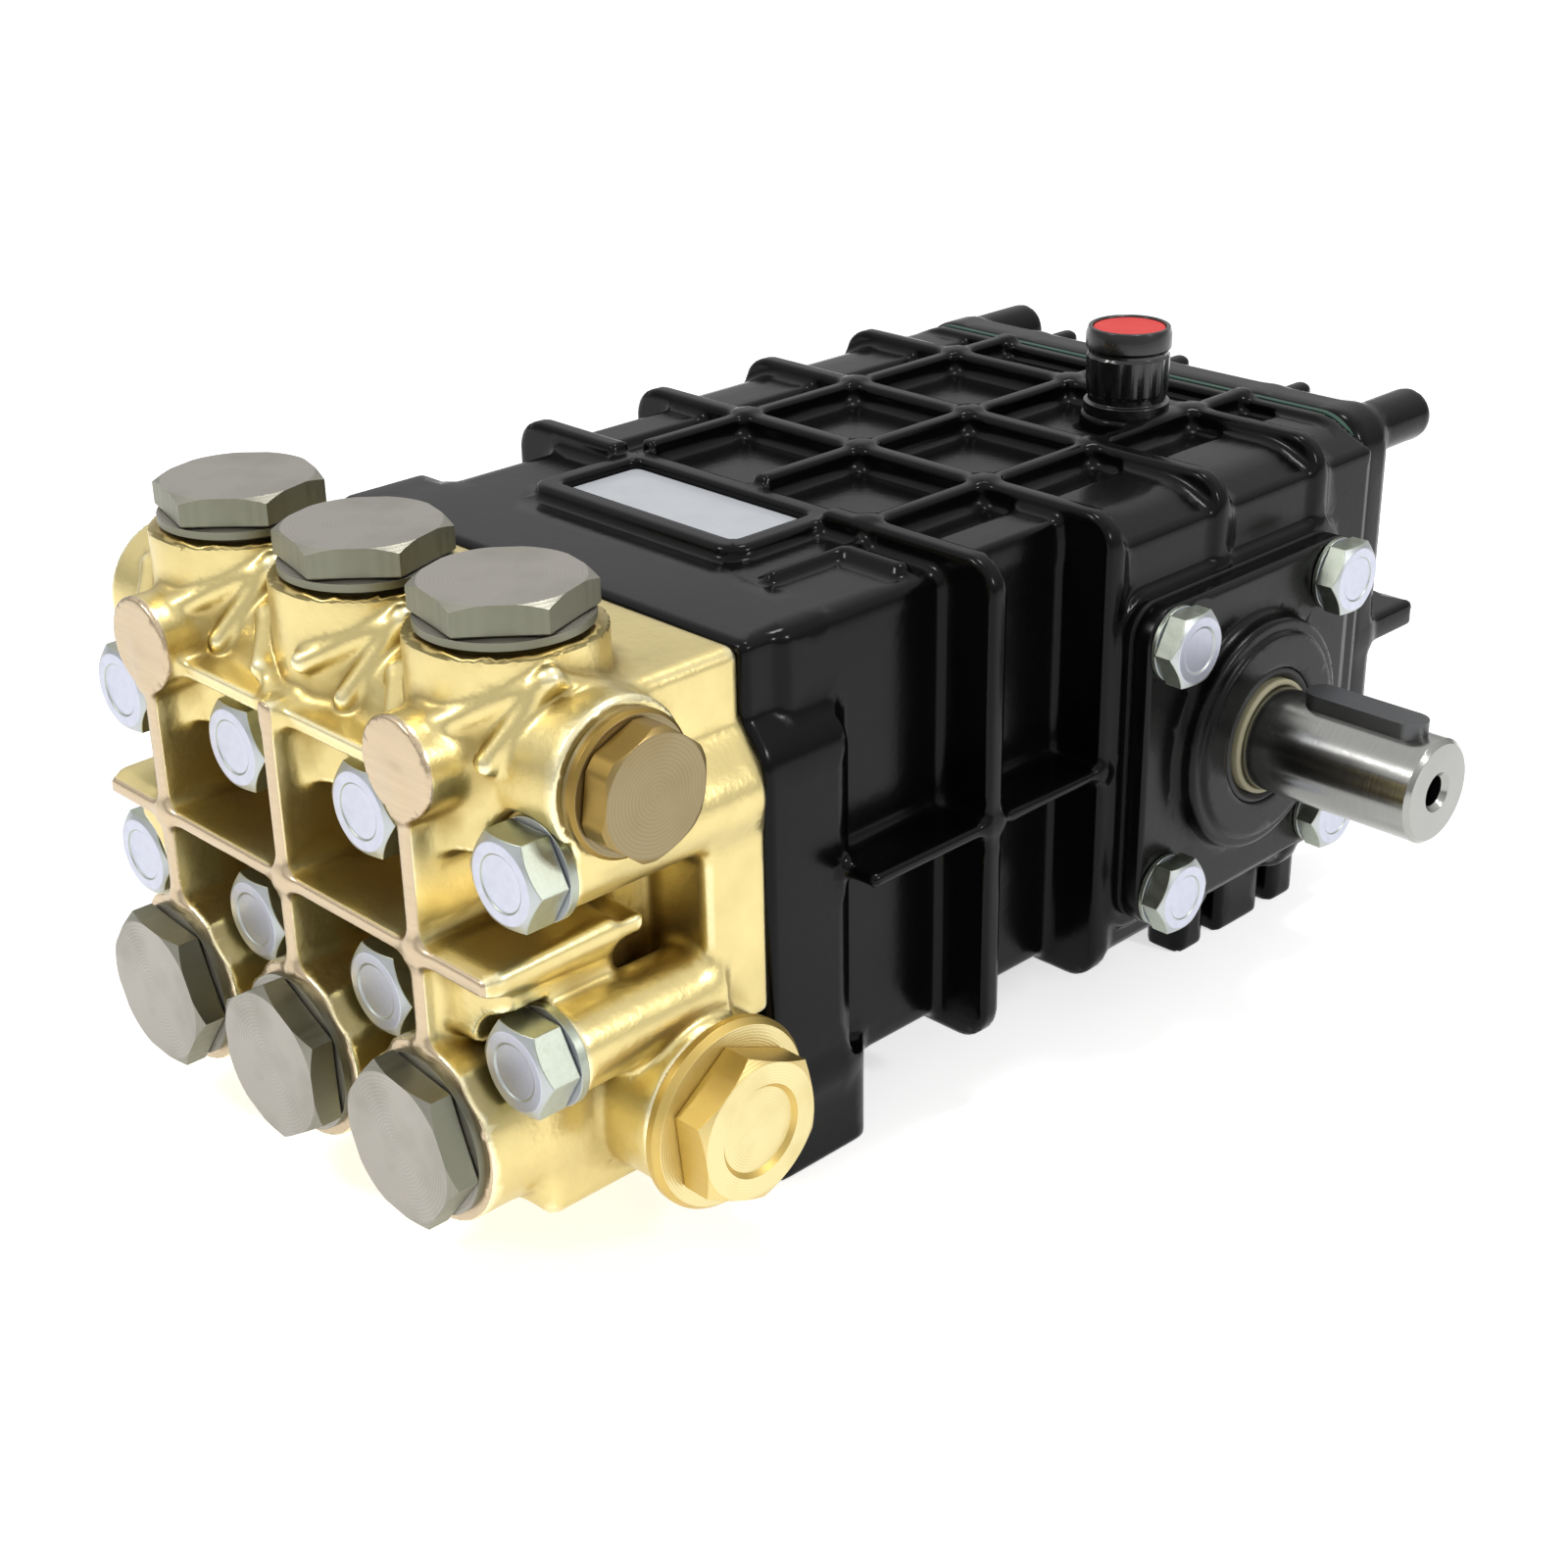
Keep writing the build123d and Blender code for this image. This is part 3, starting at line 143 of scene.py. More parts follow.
class PumpCaseSizes(bpy.types.PropertyGroup):
    """Sizes of the crankcase, the bearing flanges and the rear cover."""
    middle: length("Case middle", 5.4, "Middle plane of the case, along X")
    half: length("Front half width", 62, "Half width of the case in the first bays")
    rear_half: length("Rear half width", 75, "Half width of the case in the rear bays")
    bottom: length("Case bottom", 16.5, "Height of the case's underside")
    top: length("Case top", 121, "Height of the sunken fields on top")
    rear: length("Case rear", 104, "Rear face of the case, along Y")
    hoop_front: length("First hoop", -31, "Middle of the first hoop rib, along Y")
    hoop_pitch: length("Hoop pitch", 37.63, "Distance between hoop ribs")
    hoop_half: length("Hoop half width", 75.6, "Half width of the hoop ribs")
    hoop_top: length("Hoop top", 126.3, "Height of the hoop ribs' upper edges")
    rib_pitch: length("Rib pitch", 37.8, "Distance between the lengthwise ribs on top")
    shaft_y: length("Shaft axis", 49, "Axis of the crankshaft, along Y")
    shaft_z: length("Shaft height", 66, "Height of the crankshaft's axis")
    housing: length("Housing reach", 76.6, "Bearing faces from the middle plane")
    flange_half: length("Flange half width", 38.5, "Half width of the square bearing flanges")
    shaft_end: length("Shaft end", 137.7, "End of the keyed shaft, along X")
    cover_y: length("Cover face", 105.5, "Where the rear cover meets its gasket, along Y")


class PumpFinishes(bpy.types.PropertyGroup):
    """Colours of the pump's finishes."""
    brass: tone("Cast brass", 224, 206, 144, "Open faces of the tumbled brass casting")
    # Edges painted brighter, as tumbler wear and as painted highlight.
    brass_wear_and_highlight: tone("Worn and highlit brass", 250, 240, 196, "Edges painted bright, as tumbler wear and painted highlight")
    # Painted shade for the hollows of the brass.
    brass_painted_shade: tone("Shaded brass", 146, 120, 56, "Hollows in painted shade")
    brass_milled: tone("Milled brass", 206, 186, 156, "Machined faces of the casting")
    plug_brass: tone("Forged brass", 228, 214, 160, "Suction plug")
    plug_olive: tone("Darkened brass", 148, 134, 102, "Delivery plug")
    nickel: tone("Nickel grey", 168, 164, 156, "Valve caps")
    zinc: tone("Zinc plating", 200, 202, 216, "Screws")
    paint: tone("Black paint", 7, 7, 8, "Castings painted gloss black")
    label: tone("Label film", 196, 199, 204, "Blank label plate")
    ground: tone("Ground steel", 164, 164, 160, "Drive shaft")
    key: tone("Key steel", 96, 97, 98, "Key of the drive shaft")
    seal: tone("Seal lip", 176, 170, 138, "Ring round the shaft")
    gasket: tone("Gasket sheet", 38, 74, 60, "Edge of the rear gasket")
    red: tone("Filler red", 226, 50, 44, "Top of the oil filler")


class PumpStage(bpy.types.PropertyGroup):
    """Camera and light of the studio."""
    azimuth: angle("Camera azimuth", 45.8402, "Direction the camera looks in, from +Y")
    elevation: angle("Camera elevation", 25.1716, "How far the camera looks down")
    roll: angle("Camera roll", -0.981, "Turn of the picture about the camera's axis")
    eye: bpy.props.FloatVectorProperty(
        name="Camera place", description="Where the camera stands",
        default=(0.38192, -0.38528, 0.29521), size=3, subtype="XYZ", unit="LENGTH", precision=5)
    lens: bpy.props.FloatProperty(
        name="Focal length", description="Lens of the camera in millimetres on a 36 mm wide sensor",
        default=56.19, min=10, unit="CAMERA")
    ambient: amount("Room light", 0.42, "Light that comes evenly from all round")
    horizon: amount("Horizon", 0.42, "How bright metal mirrors the room near the floor")
    glow: amount("Floor glow", 0.65, "How much the floor is lifted to white where it is seen")


def sizes(group):
    """The lengths of a property group in millimetres, by name."""
    keys = type(group).__annotations__
    return types.SimpleNamespace(**{key: getattr(group, key) / MM for key in keys})


# Shapes of castings: the corners of a box round each, and the distance from its surface

def corner(side, end, r):
    """Distance from a corner between two faces, rounded to a radius."""
    outside = np.hypot(np.maximum(side, 0), np.maximum(end, 0))
    return outside + np.minimum(np.maximum(side, end), 0) - r


def block(low, high, r=1.0):
    """Box with rounded edges."""
    mids = [(a + b) / 2 for a, b in zip(low, high)]
    halves = [(b - a) / 2 - r for a, b in zip(low, high)]

    def distance(*at):
        q = [np.abs(c - mid) - half for c, mid, half in zip(at, mids, halves)]
        outside = np.sqrt(sum(np.maximum(v, 0) ** 2 for v in q))
        return outside + np.minimum(np.maximum(np.maximum(q[0], q[1]), q[2]), 0) - r

    return low, high, distance


def run(axis, low, high, start, end, r, flat):
    """Flat outline carried along an axis, with its end edges rounded."""
    lows, highs = list(low), list(high)
    lows.insert(axis, min(start, end))
    highs.insert(axis, max(start, end))
    middle, half = (start + end) / 2, abs(end - start) / 2

    def distance(*at):
        u, v = (c for i, c in enumerate(at) if i != axis)
        return corner(flat(u, v) + r, np.abs(at[axis] - middle) - half + r, r)

    return lows, highs, distance


def rod(axis, centre, radius, start, end, r=1.0):
    """Round bar along an axis."""
    low, high = [c - radius for c in centre], [c + radius for c in centre]
    return run(axis, low, high, start, end, r,
               lambda u, v: np.hypot(u - centre[0], v - centre[1]) - radius)


def plate(axis, low, high, corner_r, start, end, r=1.0):
    """Plate at right angles to an axis, with round corners."""
    def flat(*at):
        sides = (np.abs(c - (a + b) / 2) - (b - a) / 2 + corner_r for c, a, b in zip(at, low, high))
        return corner(*sides, corner_r)

    return run(axis, low, high, start, end, r, flat)


def bar(axis, outline, start, end, r=1.0):
    """Straight bar with a convex outline, given anticlockwise."""
    planes = []
    for (u0, v0), (u1, v1) in zip(outline, outline[1:] + outline[:1]):
        edge = math.hypot(u1 - u0, v1 - v0)
        normal = ((v1 - v0) / edge, (u0 - u1) / edge)
        planes.append((*normal, normal[0] * u0 + normal[1] * v0))

    def flat(u, v):
        sides = [a * u + b * v - c + r for a, b, c in planes]
        outside = np.sqrt(sum(np.maximum(s, 0) ** 2 for s in sides))
        return outside + np.minimum(np.max(sides, axis=0), 0) - r

    low, high = ([pick(p[i] for p in outline) for i in (0, 1)] for pick in (min, max))
    return run(axis, low, high, start, end, r, flat)


def limb(start, end, r0, r1):
    """Tapered limb with round ends."""
    low = [min(a, b) - max(r0, r1) for a, b in zip(start, end)]
    high = [max(a, b) + max(r0, r1) for a, b in zip(start, end)]
    way = [b - a for a, b in zip(start, end)]
    square = sum(v * v for v in way)

    def distance(*at):
        t = np.clip(sum((c - a) * v for c, a, v in zip(at, start, way)) / square, 0, 1)
        gap = np.sqrt(sum((c - a - t * v) ** 2 for c, a, v in zip(at, start, way)))
        return gap - r0 - (r1 - r0) * t

    return low, high, distance


def mirrored(side, low, high, middle=0.0):
    """Corners given for the right of a middle plane, on the side that is asked for."""
    near, far = sorted((middle + side * low[0], middle + side * high[0]))
    return (near, *low[1:]), (far, *high[1:])


def seam_outline(bottom):
    """Outline of the joint between head and case, with its sloping shoulders."""
    return [(-72, bottom), (72, bottom), (72, 97), (66, 105), (-66, 105), (-72, 97)]


def rear_corners(middle):
    """Corners of the joint between case and rear cover."""
    return (middle - 71, 14), (middle + 71, 124.5)


class Casting:
    """A cast shape kept as distances from its surface on a grid, negative inside.

    Everything is in millimetres.
    """

    REACH = 6.0

    def __init__(self, low, high, step):
        self.low = np.array(low, np.float32)
        self.step = step
        counts = [int(math.ceil((b - a) / step)) + 1 for a, b in zip(low, high)]
        self.lines = [(a + step * np.arange(n)).astype(np.float32) for a, n in zip(low, counts)]
        self.field = np.full(counts, self.REACH, np.float32)

    def window(self, low, high):
        """Grid cells within reach of a box, with their coordinates."""
        cut = []
        for line, a, b in zip(self.lines, low, high):
            i, j = np.searchsorted(line, (a - self.REACH, b + self.REACH))
            cut.append(slice(int(i), int(max(j, i + 1))))
        x, y, z = (line[c] for line, c in zip(self.lines, cut))
        return tuple(cut), (x[:, None, None], y[None, :, None], z[None, None, :])

    def merge(self, shape, blend, sign):
        """Joins a shape to the metal, or to the air round it where the sign is negative."""
        low, high, distance = shape
        cut, at = self.window(low, high)
        old = self.field[cut] * sign
        new = np.minimum(distance(*at), self.REACH).astype(np.float32)
        h = np.maximum(blend - np.abs(old - new), 0) / blend
        self.field[cut] = (np.minimum(old, new) - h * h * blend / 4) * sign

    def join(self, shape, blend=3.0):
        """Adds a shape, with a cast fillet where it meets what is there."""
        self.merge(shape, blend, 1)

    def cut(self, shape, blend=0.6):
        """Takes a shape away, leaving an edge rounded by about the blend."""
        self.merge(shape, blend, -1)

    def sample(self, values, points):
        """Values of a grid at points, by linear steps between its cells."""
        at = np.clip((points - self.low) / self.step, 0, np.array(values.shape) - 1.001)
        base = at.astype(int)
        part = at - base
        result = np.zeros(len(points), np.float32)
        for number in range(8):
            offset = np.array([number >> 2 & 1, number >> 1 & 1, number & 1])
            weight = np.prod(np.where(offset, part, 1 - part), axis=1)
            index = base + offset
            result += weight * values[index[:, 0], index[:, 1], index[:, 2]]
        return result

    def share(self, reach):
        """Share of solid metal within reach of each cell."""
        solid = np.clip(0.5 - self.field / self.step, 0, 1)
        cells = max(1, round(reach / self.step))
        for axis in range(3):
            pad = [(cells + 1, cells) if i == axis else (0, 0) for i in range(3)]
            total = np.cumsum(np.pad(solid, pad, mode="edge"), axis, dtype=np.float32)
            ahead = np.take(total, range(2 * cells + 1, total.shape[axis]), axis)
            behind = np.take(total, range(total.shape[axis] - 2 * cells - 1), axis)
            solid = (ahead - behind) / (2 * cells + 1)
        return solid

    def skin(self, name, faceting=0.06):
        """Mesh of the surface, with smooth normals, a mask of thin edges for tumbler wear and
        painted highlight, and a mask of enclosed hollows for painted shade and dust.
        """
        grid = openvdb.FloatGrid(self.REACH)
        field = np.clip(self.field, -self.REACH, self.REACH).astype(np.float32)
        grid.copyFromArray(field, tolerance=0.0)
        points, tris, quads = grid.convertToPolygons(isovalue=0.0, adaptivity=faceting)
        points = self.low + np.asarray(points, np.float32) * self.step
        slopes = [self.sample(s, points) for s in np.gradient(self.field, self.step)]
        normals = np.stack(slopes, 1)
        normals /= np.maximum(np.linalg.norm(normals, axis=1, keepdims=True), 1e-6)
        faces = [tuple(f) for f in tris.tolist()] + [tuple(f) for f in quads.tolist()]
        # Some faces tell whether all of them are wound outwards
        test = np.array([f[:3] for f in faces[::97]])
        a, b, c = (points[test[:, i]] for i in range(3))
        if np.sum(np.cross(b - a, c - a) * normals[test[:, 0]]) < 0:
            faces = [f[::-1] for f in faces]
        mesh = bpy.data.meshes.new(name)
        mesh.from_pydata((points * MM).tolist(), [], faces)
        mesh.polygons.foreach_set("use_smooth", [True] * len(mesh.polygons))
        mesh.normals_split_custom_set_from_vertices(normals.tolist())
        # Thin edges are marked for tumbler wear and painted highlight; enclosed hollows are marked
        # for painted shade on the brass and for dust on the paint.
        near, wide = self.sample(self.share(1.6), points), self.sample(self.share(5.0), points)
        for label, values in (("wear_and_highlight", np.clip((0.44 - near) * 8, 0, 1)),
                              ("shade_and_dust", np.clip((wide - 0.5) * 3.2, 0, 1))):
            layer = mesh.attributes.new(label, "FLOAT", "POINT")
            layer.data.foreach_set("value", values.astype(np.float32))
        return mesh


# Turned and hexagonal pieces

def ring_angles(steps):
    """Evenly spread angles round a turned piece."""
    return np.arange(steps) * 2 * math.pi / steps


def hexagon(flats):
    """Distance from the middle to a hexagon's edge at each angle, from a corner on."""
    within = np.mod(ring_angles(ROUND_STEPS), math.pi / 3) - math.pi / 6
    return flats / 2 / np.cos(within)


def spun(name, rings, steps=ROUND_STEPS, bevel=0.2, closed=True):
    """Skin over rings of points; each ring is a radius and a height, plain or for each angle."""
    angles = ring_angles(steps)
    points, faces = [], []
    for radius, height in rings:
        radii, heights = np.broadcast_to(radius, steps), np.broadcast_to(height, steps)
        points += np.stack([radii * np.cos(angles), radii * np.sin(angles), heights], 1).tolist()
    for ring in range(len(rings) - 1):
        a, b = ring * steps, (ring + 1) * steps
        faces += [(a + i, a + (i + 1) % steps, b + (i + 1) % steps, b + i) for i in range(steps)]
    if closed:
        points.append((0, 0, float(np.mean(rings[-1][1]))))
        last, tip = (len(rings) - 1) * steps, len(points) - 1
        faces += [(last + i, last + (i + 1) % steps, tip) for i in range(steps)]
    mesh = bpy.data.meshes.new(name)
    mesh.from_pydata([tuple(c * MM for c in p) for p in points], [], faces)
    mesh.validate()
    return rounded(mesh, name, bevel)


def rounded(mesh, name, width):
    """The mesh with its sharp edges given a fine bevel and smooth shading between them."""
    sharp = bpy.data.objects.new(name + "_sharp", mesh)
    bpy.context.scene.collection.objects.link(sharp)
    mesh.polygons.foreach_set("use_smooth", [True] * len(mesh.polygons))
    edge = sharp.modifiers.new("edge", "BEVEL")
    edge.width = width * MM
    edge.segments = 2
    edge.limit_method = "ANGLE"
    edge.angle_limit = math.radians(24)
    edge.harden_normals = True
    graph = bpy.context.evaluated_depsgraph_get()
    result = bpy.data.meshes.new_from_object(sharp.evaluated_get(graph))
    bpy.data.objects.remove(sharp)
    result.name = name
    return result


def washer(name, inner, outer, thick):
    """Flat ring whose underside is at height 0."""
    rings = [(inner, 0), (outer, 0), (outer, thick), (inner, thick)]
    return spun(name, rings, closed=False)


def hex_head(flats, height, face_r, base=0.0, recess=None, corner_r=math.inf):
    """Rings of a hexagon head that stands on a base height.

    It has a turned chamfer round its face, and its corners can be turned down to a radius.
    """
    edge = np.minimum(hexagon(flats), corner_r)
    under = 0.4
    slope = math.tan(math.radians(30))
    top = base + height - np.maximum(edge - face_r, 0) * slope
    rings = [(flats / 2 - 1, base), (edge - under, base), (edge, base + under), (edge, top),
             (np.minimum(face_r, edge - 0.05), base + height)]
    if recess:
        radius, depth = recess
        rings += [(radius + depth, base + height), (radius, base + height - depth)]
    return rings


FACING = {
    "+X": ((0, 1, 0), (0, 0, 1), (1, 0, 0)),
    "-X": ((0, -1, 0), (0, 0, 1), (-1, 0, 0)),
    "+Y": ((-1, 0, 0), (0, 0, 1), (0, 1, 0)),
    "-Y": ((1, 0, 0), (0, 0, 1), (0, -1, 0)),
    "+Z": ((1, 0, 0), (0, 1, 0), (0, 0, 1)),
}


def fitted(mesh, name, place, toward, look, *nodes, body="pump_body", turn=0.0):
    """Piece in its finish whose +Z points along an axis, riding on a body in place of CAD nodes."""
    piece = bpy.data.objects.new(name, mesh)
    bpy.context.scene.collection.objects.link(piece)
    axes = Matrix([Vector(a) for a in FACING[toward]]).transposed().to_4x4()
    spin = Matrix.Rotation(math.radians(turn), 4, "Z")
    piece.matrix_world = Matrix.Translation(Vector(place) * MM) @ axes @ spin
    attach(piece, body)
    dress(piece, look)
    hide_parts(*nodes)


def cast(casting, mesh_name, name, look, *nodes, faceting=0.06):
    """Piece of a casting, which is made in place."""
    fitted(casting.skin(mesh_name, faceting), name, (0, 0, 0), "+Z", look, *nodes)


def dress(piece, look):
    """Gives a piece its finish."""
    piece.data.materials.clear()
    piece.data.materials.append(finish(look))


# Shader arithmetic

class Value:
    """A shader socket that takes part in plain sums."""

    def __init__(self, nodes, socket):
        self.nodes = nodes
        self.socket = socket

    def maths(self, operation, first, second):
        """Result of a Math node."""
        return self.nodes.node("ShaderNodeMath", {0: first, 1: second}, operation=operation)

    def __add__(self, other):
        return self.maths("ADD", self, other)

    __radd__ = __add__

    def __sub__(self, other):
        return self.maths("SUBTRACT", self, other)

    def __rsub__(self, other):
        return self.maths("SUBTRACT", other, self)

    def __mul__(self, other):
        return self.maths("MULTIPLY", self, other)

    __rmul__ = __mul__

    def __gt__(self, other):
        return self.maths("GREATER_THAN", self, other)


class Nodes:
    """Node tree of a material or of the world."""

    def __init__(self, tree):
        self.tree = tree

    def feed(self, node, inputs):
        """Sets or links the sockets of a node."""
        for key, value in inputs.items():
            socket = node.inputs[key]
            if isinstance(value, Value):
                self.tree.links.new(value.socket, socket)
            elif hasattr(value, "__len__") and len(value) == 3 and socket.type == "RGBA":
                socket.default_value = (*value, 1)
            else:
                socket.default_value = value

    def node(self, kind, inputs=None, output=0, stops=None, **settings):
        """Any node: its settings first, then the values or links of its sockets."""
        node = self.tree.nodes.new(kind)
        for key, value in settings.items():
            setattr(node, key, value)
        if stops:
            ramp = node.color_ramp
            while len(ramp.elements) < len(stops):
                ramp.elements.new(0.5)
            for element, (place, level) in zip(ramp.elements, stops):
                element.position = place
                element.color = (level, level, level, 1)
        self.feed(node, inputs or {})
        return Value(self, node.outputs[output])

    def place(self, output="Object"):
        """Coordinates on the surface."""
        return self.node("ShaderNodeTexCoord", output=output)

    def split(self, vector, axis):
        """One coordinate of a vector."""
        return self.node("ShaderNodeSeparateXYZ", {0: vector}, output=axis)

    def stretched(self, x, y, z):
        """Object coordinates pulled out along the axes."""
        return self.node("ShaderNodeMapping", {"Vector": self.place(), "Scale": (x, y, z)})

    def grain(self, scale, detail=3.0, roughness=0.5, at=None):
        """Cloudy variation between 0 and 1 about the middle."""
        inputs = {"Vector": at or self.place(), "Scale": scale, "Detail": detail,
                  "Roughness": roughness}
        return self.node("ShaderNodeTexNoise", inputs, output="Fac")

    def turned(self, pitch):
        """Fine rings round the piece's own axis, between 0 and 1, a pitch in metres apart."""
        inputs = {"Vector": self.place(), "Scale": math.pi / 10 / pitch, "Distortion": 0.3,
                  "Detail": 1.0, "Detail Scale": 1.0}
        return self.node("ShaderNodeTexWave", inputs, output="Fac", wave_type="RINGS",
                         rings_direction="Z", wave_profile="SIN")

    def painted(self, name):
        """A value kept on the points of a casting."""
        return self.node("ShaderNodeAttribute", output="Fac", attribute_name=name)

    def ramp(self, value, *stops):
        """Value carried over the stops of a ramp."""
        return self.node("ShaderNodeValToRGB", {"Fac": value}, stops=stops)

    def blend(self, factor, first, second):
        """Colour between two others, from the colour sockets of a Mix node."""
        return self.node("ShaderNodeMix", {0: factor, 6: first, 7: second}, output=2,
                         data_type="RGBA")

    def rays(self, *kinds):
        """1 for rays of the named kinds, and 0 for the rest."""
        values = [self.node("ShaderNodeLightPath", output=kind) for kind in kinds]
        return sum(values[1:], values[0])


class Finish(Nodes):
    """Node tree of one material round its main shader."""

    def __init__(self, name, **constants):
        self.material = bpy.data.materials.new(name)
        self.material.use_nodes = True
        super().__init__(self.material.node_tree)
        self.shader = self.tree.nodes["Principled BSDF"]
        self.wear(**constants)

    def wear(self, **inputs):
        """Feeds sockets of the main shader, with _ for each space in their names."""
        self.feed(self.shader, {key.replace("_", " "): value for key, value in inputs.items()})
        return self.material

    def bump(self, height, depth, strength=1.0):
        """Bump whose full height is a depth in millimetres."""
        inputs = {"Height": height, "Strength": strength, "Distance": depth * MM}
        self.wear(Normal=self.node("ShaderNodeBump", inputs))


# Finishes

def shade(colour, share):
    """Colour darkened to a share of its light."""
    return tuple(c * share for c in colour)


def cast_brass(tones, front=154.05, top=131.5):
    """Tumbled brass casting: edges painted brighter, as tumbler wear and painted highlight; painted
    shade in the hollows; pinkish milled faces.

    What lies ahead of the front or above the top, in millimetres, is milled.
    """
    f = Finish("cast brass", Metallic=1.0)
    clouds, fine = f.grain(60, 4, 0.6), f.grain(800, 3, 0.6)
    shade_mask, wear_and_highlight = f.painted("shade_and_dust"), f.painted("wear_and_highlight")
    y, z = f.split(f.place(), 1), f.split(f.place(), 2)
    milled = (0 - y > front * MM) + (z > top * MM)
    base = f.blend(f.ramp(clouds, (0.3, 0.0), (0.7, 1.0)), tones.brass, shade(tones.brass, 0.86))
    # Painted shade: the hollows darken towards the shaded brass colour.
    dark = f.blend(f.ramp(shade_mask + clouds * 0.5 - 0.25, (0.1, 0.0), (0.85, 1.0)), base,
                   tones.brass_painted_shade)
    # Painted highlight and tumbler wear: the thin edges brighten.
    bright = f.blend(f.ramp(wear_and_highlight * (0.6 + 0.8 * fine), (0.1, 0.0), (0.8, 1.0)), dark,
                     tones.brass_wear_and_highlight)
    cuts = f.grain(1.0, 2, 0.5, f.stretched(40, 900, 900))
    faced = f.blend(cuts, tones.brass_milled, shade(tones.brass_milled, 0.8))
    f.bump(fine * 0.5 + f.grain(240, 3, 0.5), 0.16, 0.7)
    return f.wear(Base_Color=f.blend(milled, bright, faced),
                  Roughness=0.27 + 0.14 * clouds + 0.12 * shade_mask - 0.08 * wear_and_highlight)


def end_faces(f):
    """1 on the faces at right angles to a turned piece's axis."""
    return f.ramp(f.split(f.place("Normal"), 2), (0.8, 0.0), (0.95, 1.0))


def turned_metal(name, colour, side, roughness=0.3, pitch=0.8, depth=0.01):
    """Turned metal: fine rings on the end faces; the sides painted darker, as painted reflection of
    dark surroundings.
    """
    f = Finish(name, Metallic=1.0)
    end, rings, clouds = end_faces(f), f.turned(pitch * MM), f.grain(70, 3, 0.5)
    face = f.blend(rings * 0.35, colour, shade(colour, 0.8))
    # Painted reflection: the sides take the darker side colour, the end faces the face colour.
    spots = f.blend(f.ramp(clouds, (0.45, 0.0), (0.9, 0.5)), f.blend(end, side, face),
                    shade(side, 0.7))
    f.bump(rings * end + f.grain(700, 2, 0.5) * 0.3, depth)
    return f.wear(Base_Color=spots, Roughness=roughness + 0.14 * clouds + 0.06 * rings)


def zinc(tones):
    """Bright zinc plating; the sides painted darker and greener, as painted reflection of dark
    surroundings.
    """
    f = Finish("zinc plating", Metallic=1.0)
    clouds = f.grain(400, 4, 0.65)
    # Painted reflection: a darker greenish colour for the sides.
    side = f.blend(clouds, linear(150, 156, 142), linear(190, 196, 184))
    face = f.blend(clouds, tones.zinc, shade(tones.zinc, 0.85))
    f.bump(f.grain(1200, 3, 0.6), 0.02)
    return f.wear(Base_Color=f.blend(end_faces(f), side, face), Roughness=0.3 + 0.2 * clouds)


def gloss_black(name, tones, roughness, peel, sheen, cast_dust):
    """Gloss black paint over a casting, with orange peel and dust, in its hollows or all over."""
    f = Finish(name, Specular_IOR_Level=sheen)
    clouds, fine = f.grain(60, 3, 0.55), f.grain(420, 2, 0.5)
    dust = f.painted("shade_and_dust") if cast_dust else f.grain(30, 2, 0.5) * 0.3
    f.bump(fine + 0.8 * f.grain(140, 2, 0.5), peel)
    dusty = f.ramp(dust * (0.4 + clouds), (0.2, 0.0), (1.0, 0.6))
    return f.wear(Base_Color=f.blend(dusty, tones.paint, linear(20, 21, 21)),
                  Roughness=roughness + 0.12 * clouds + 0.1 * dust)


def moulded(name, colour, roughness, coat=0.0, depth=0.02, metal=0.0):
    """Plain moulded or pressed stuff with a faint grain."""
    f = Finish(name, Metallic=metal, Coat_Weight=coat)
    clouds = f.grain(120, 4, 0.6)
    f.bump(f.grain(900, 3, 0.6), depth)
    return f.wear(Base_Color=f.blend(clouds, colour, shade(colour, 0.82)),
                  Roughness=roughness + 0.12 * clouds)


def ground_steel(tones):
    """Ground round steel with fine rings round the shaft."""
    f = Finish("ground steel", Metallic=1.0)
    rings = f.grain(1.0, 3, 0.6, f.stretched(60, 60, 5200))
    clouds = f.grain(70, 3, 0.5)
    f.bump(rings, 0.01)
    return f.wear(Base_Color=f.blend(rings, tones.ground, shade(tones.ground, 0.78)),
                  Roughness=0.1 + 0.1 * rings + 0.06 * clouds)


def sight_lens():
    """Clear moulded lens with oil behind it."""
    f = Finish("sight glass", Transmission_Weight=0.6, IOR=1.49)
    oil = f.blend(f.grain(60, 2, 0.5), linear(214, 178, 96), linear(168, 128, 60))
    return f.wear(Base_Color=oil, Roughness=0.08 + 0.04 * f.grain(300, 2, 0.5))


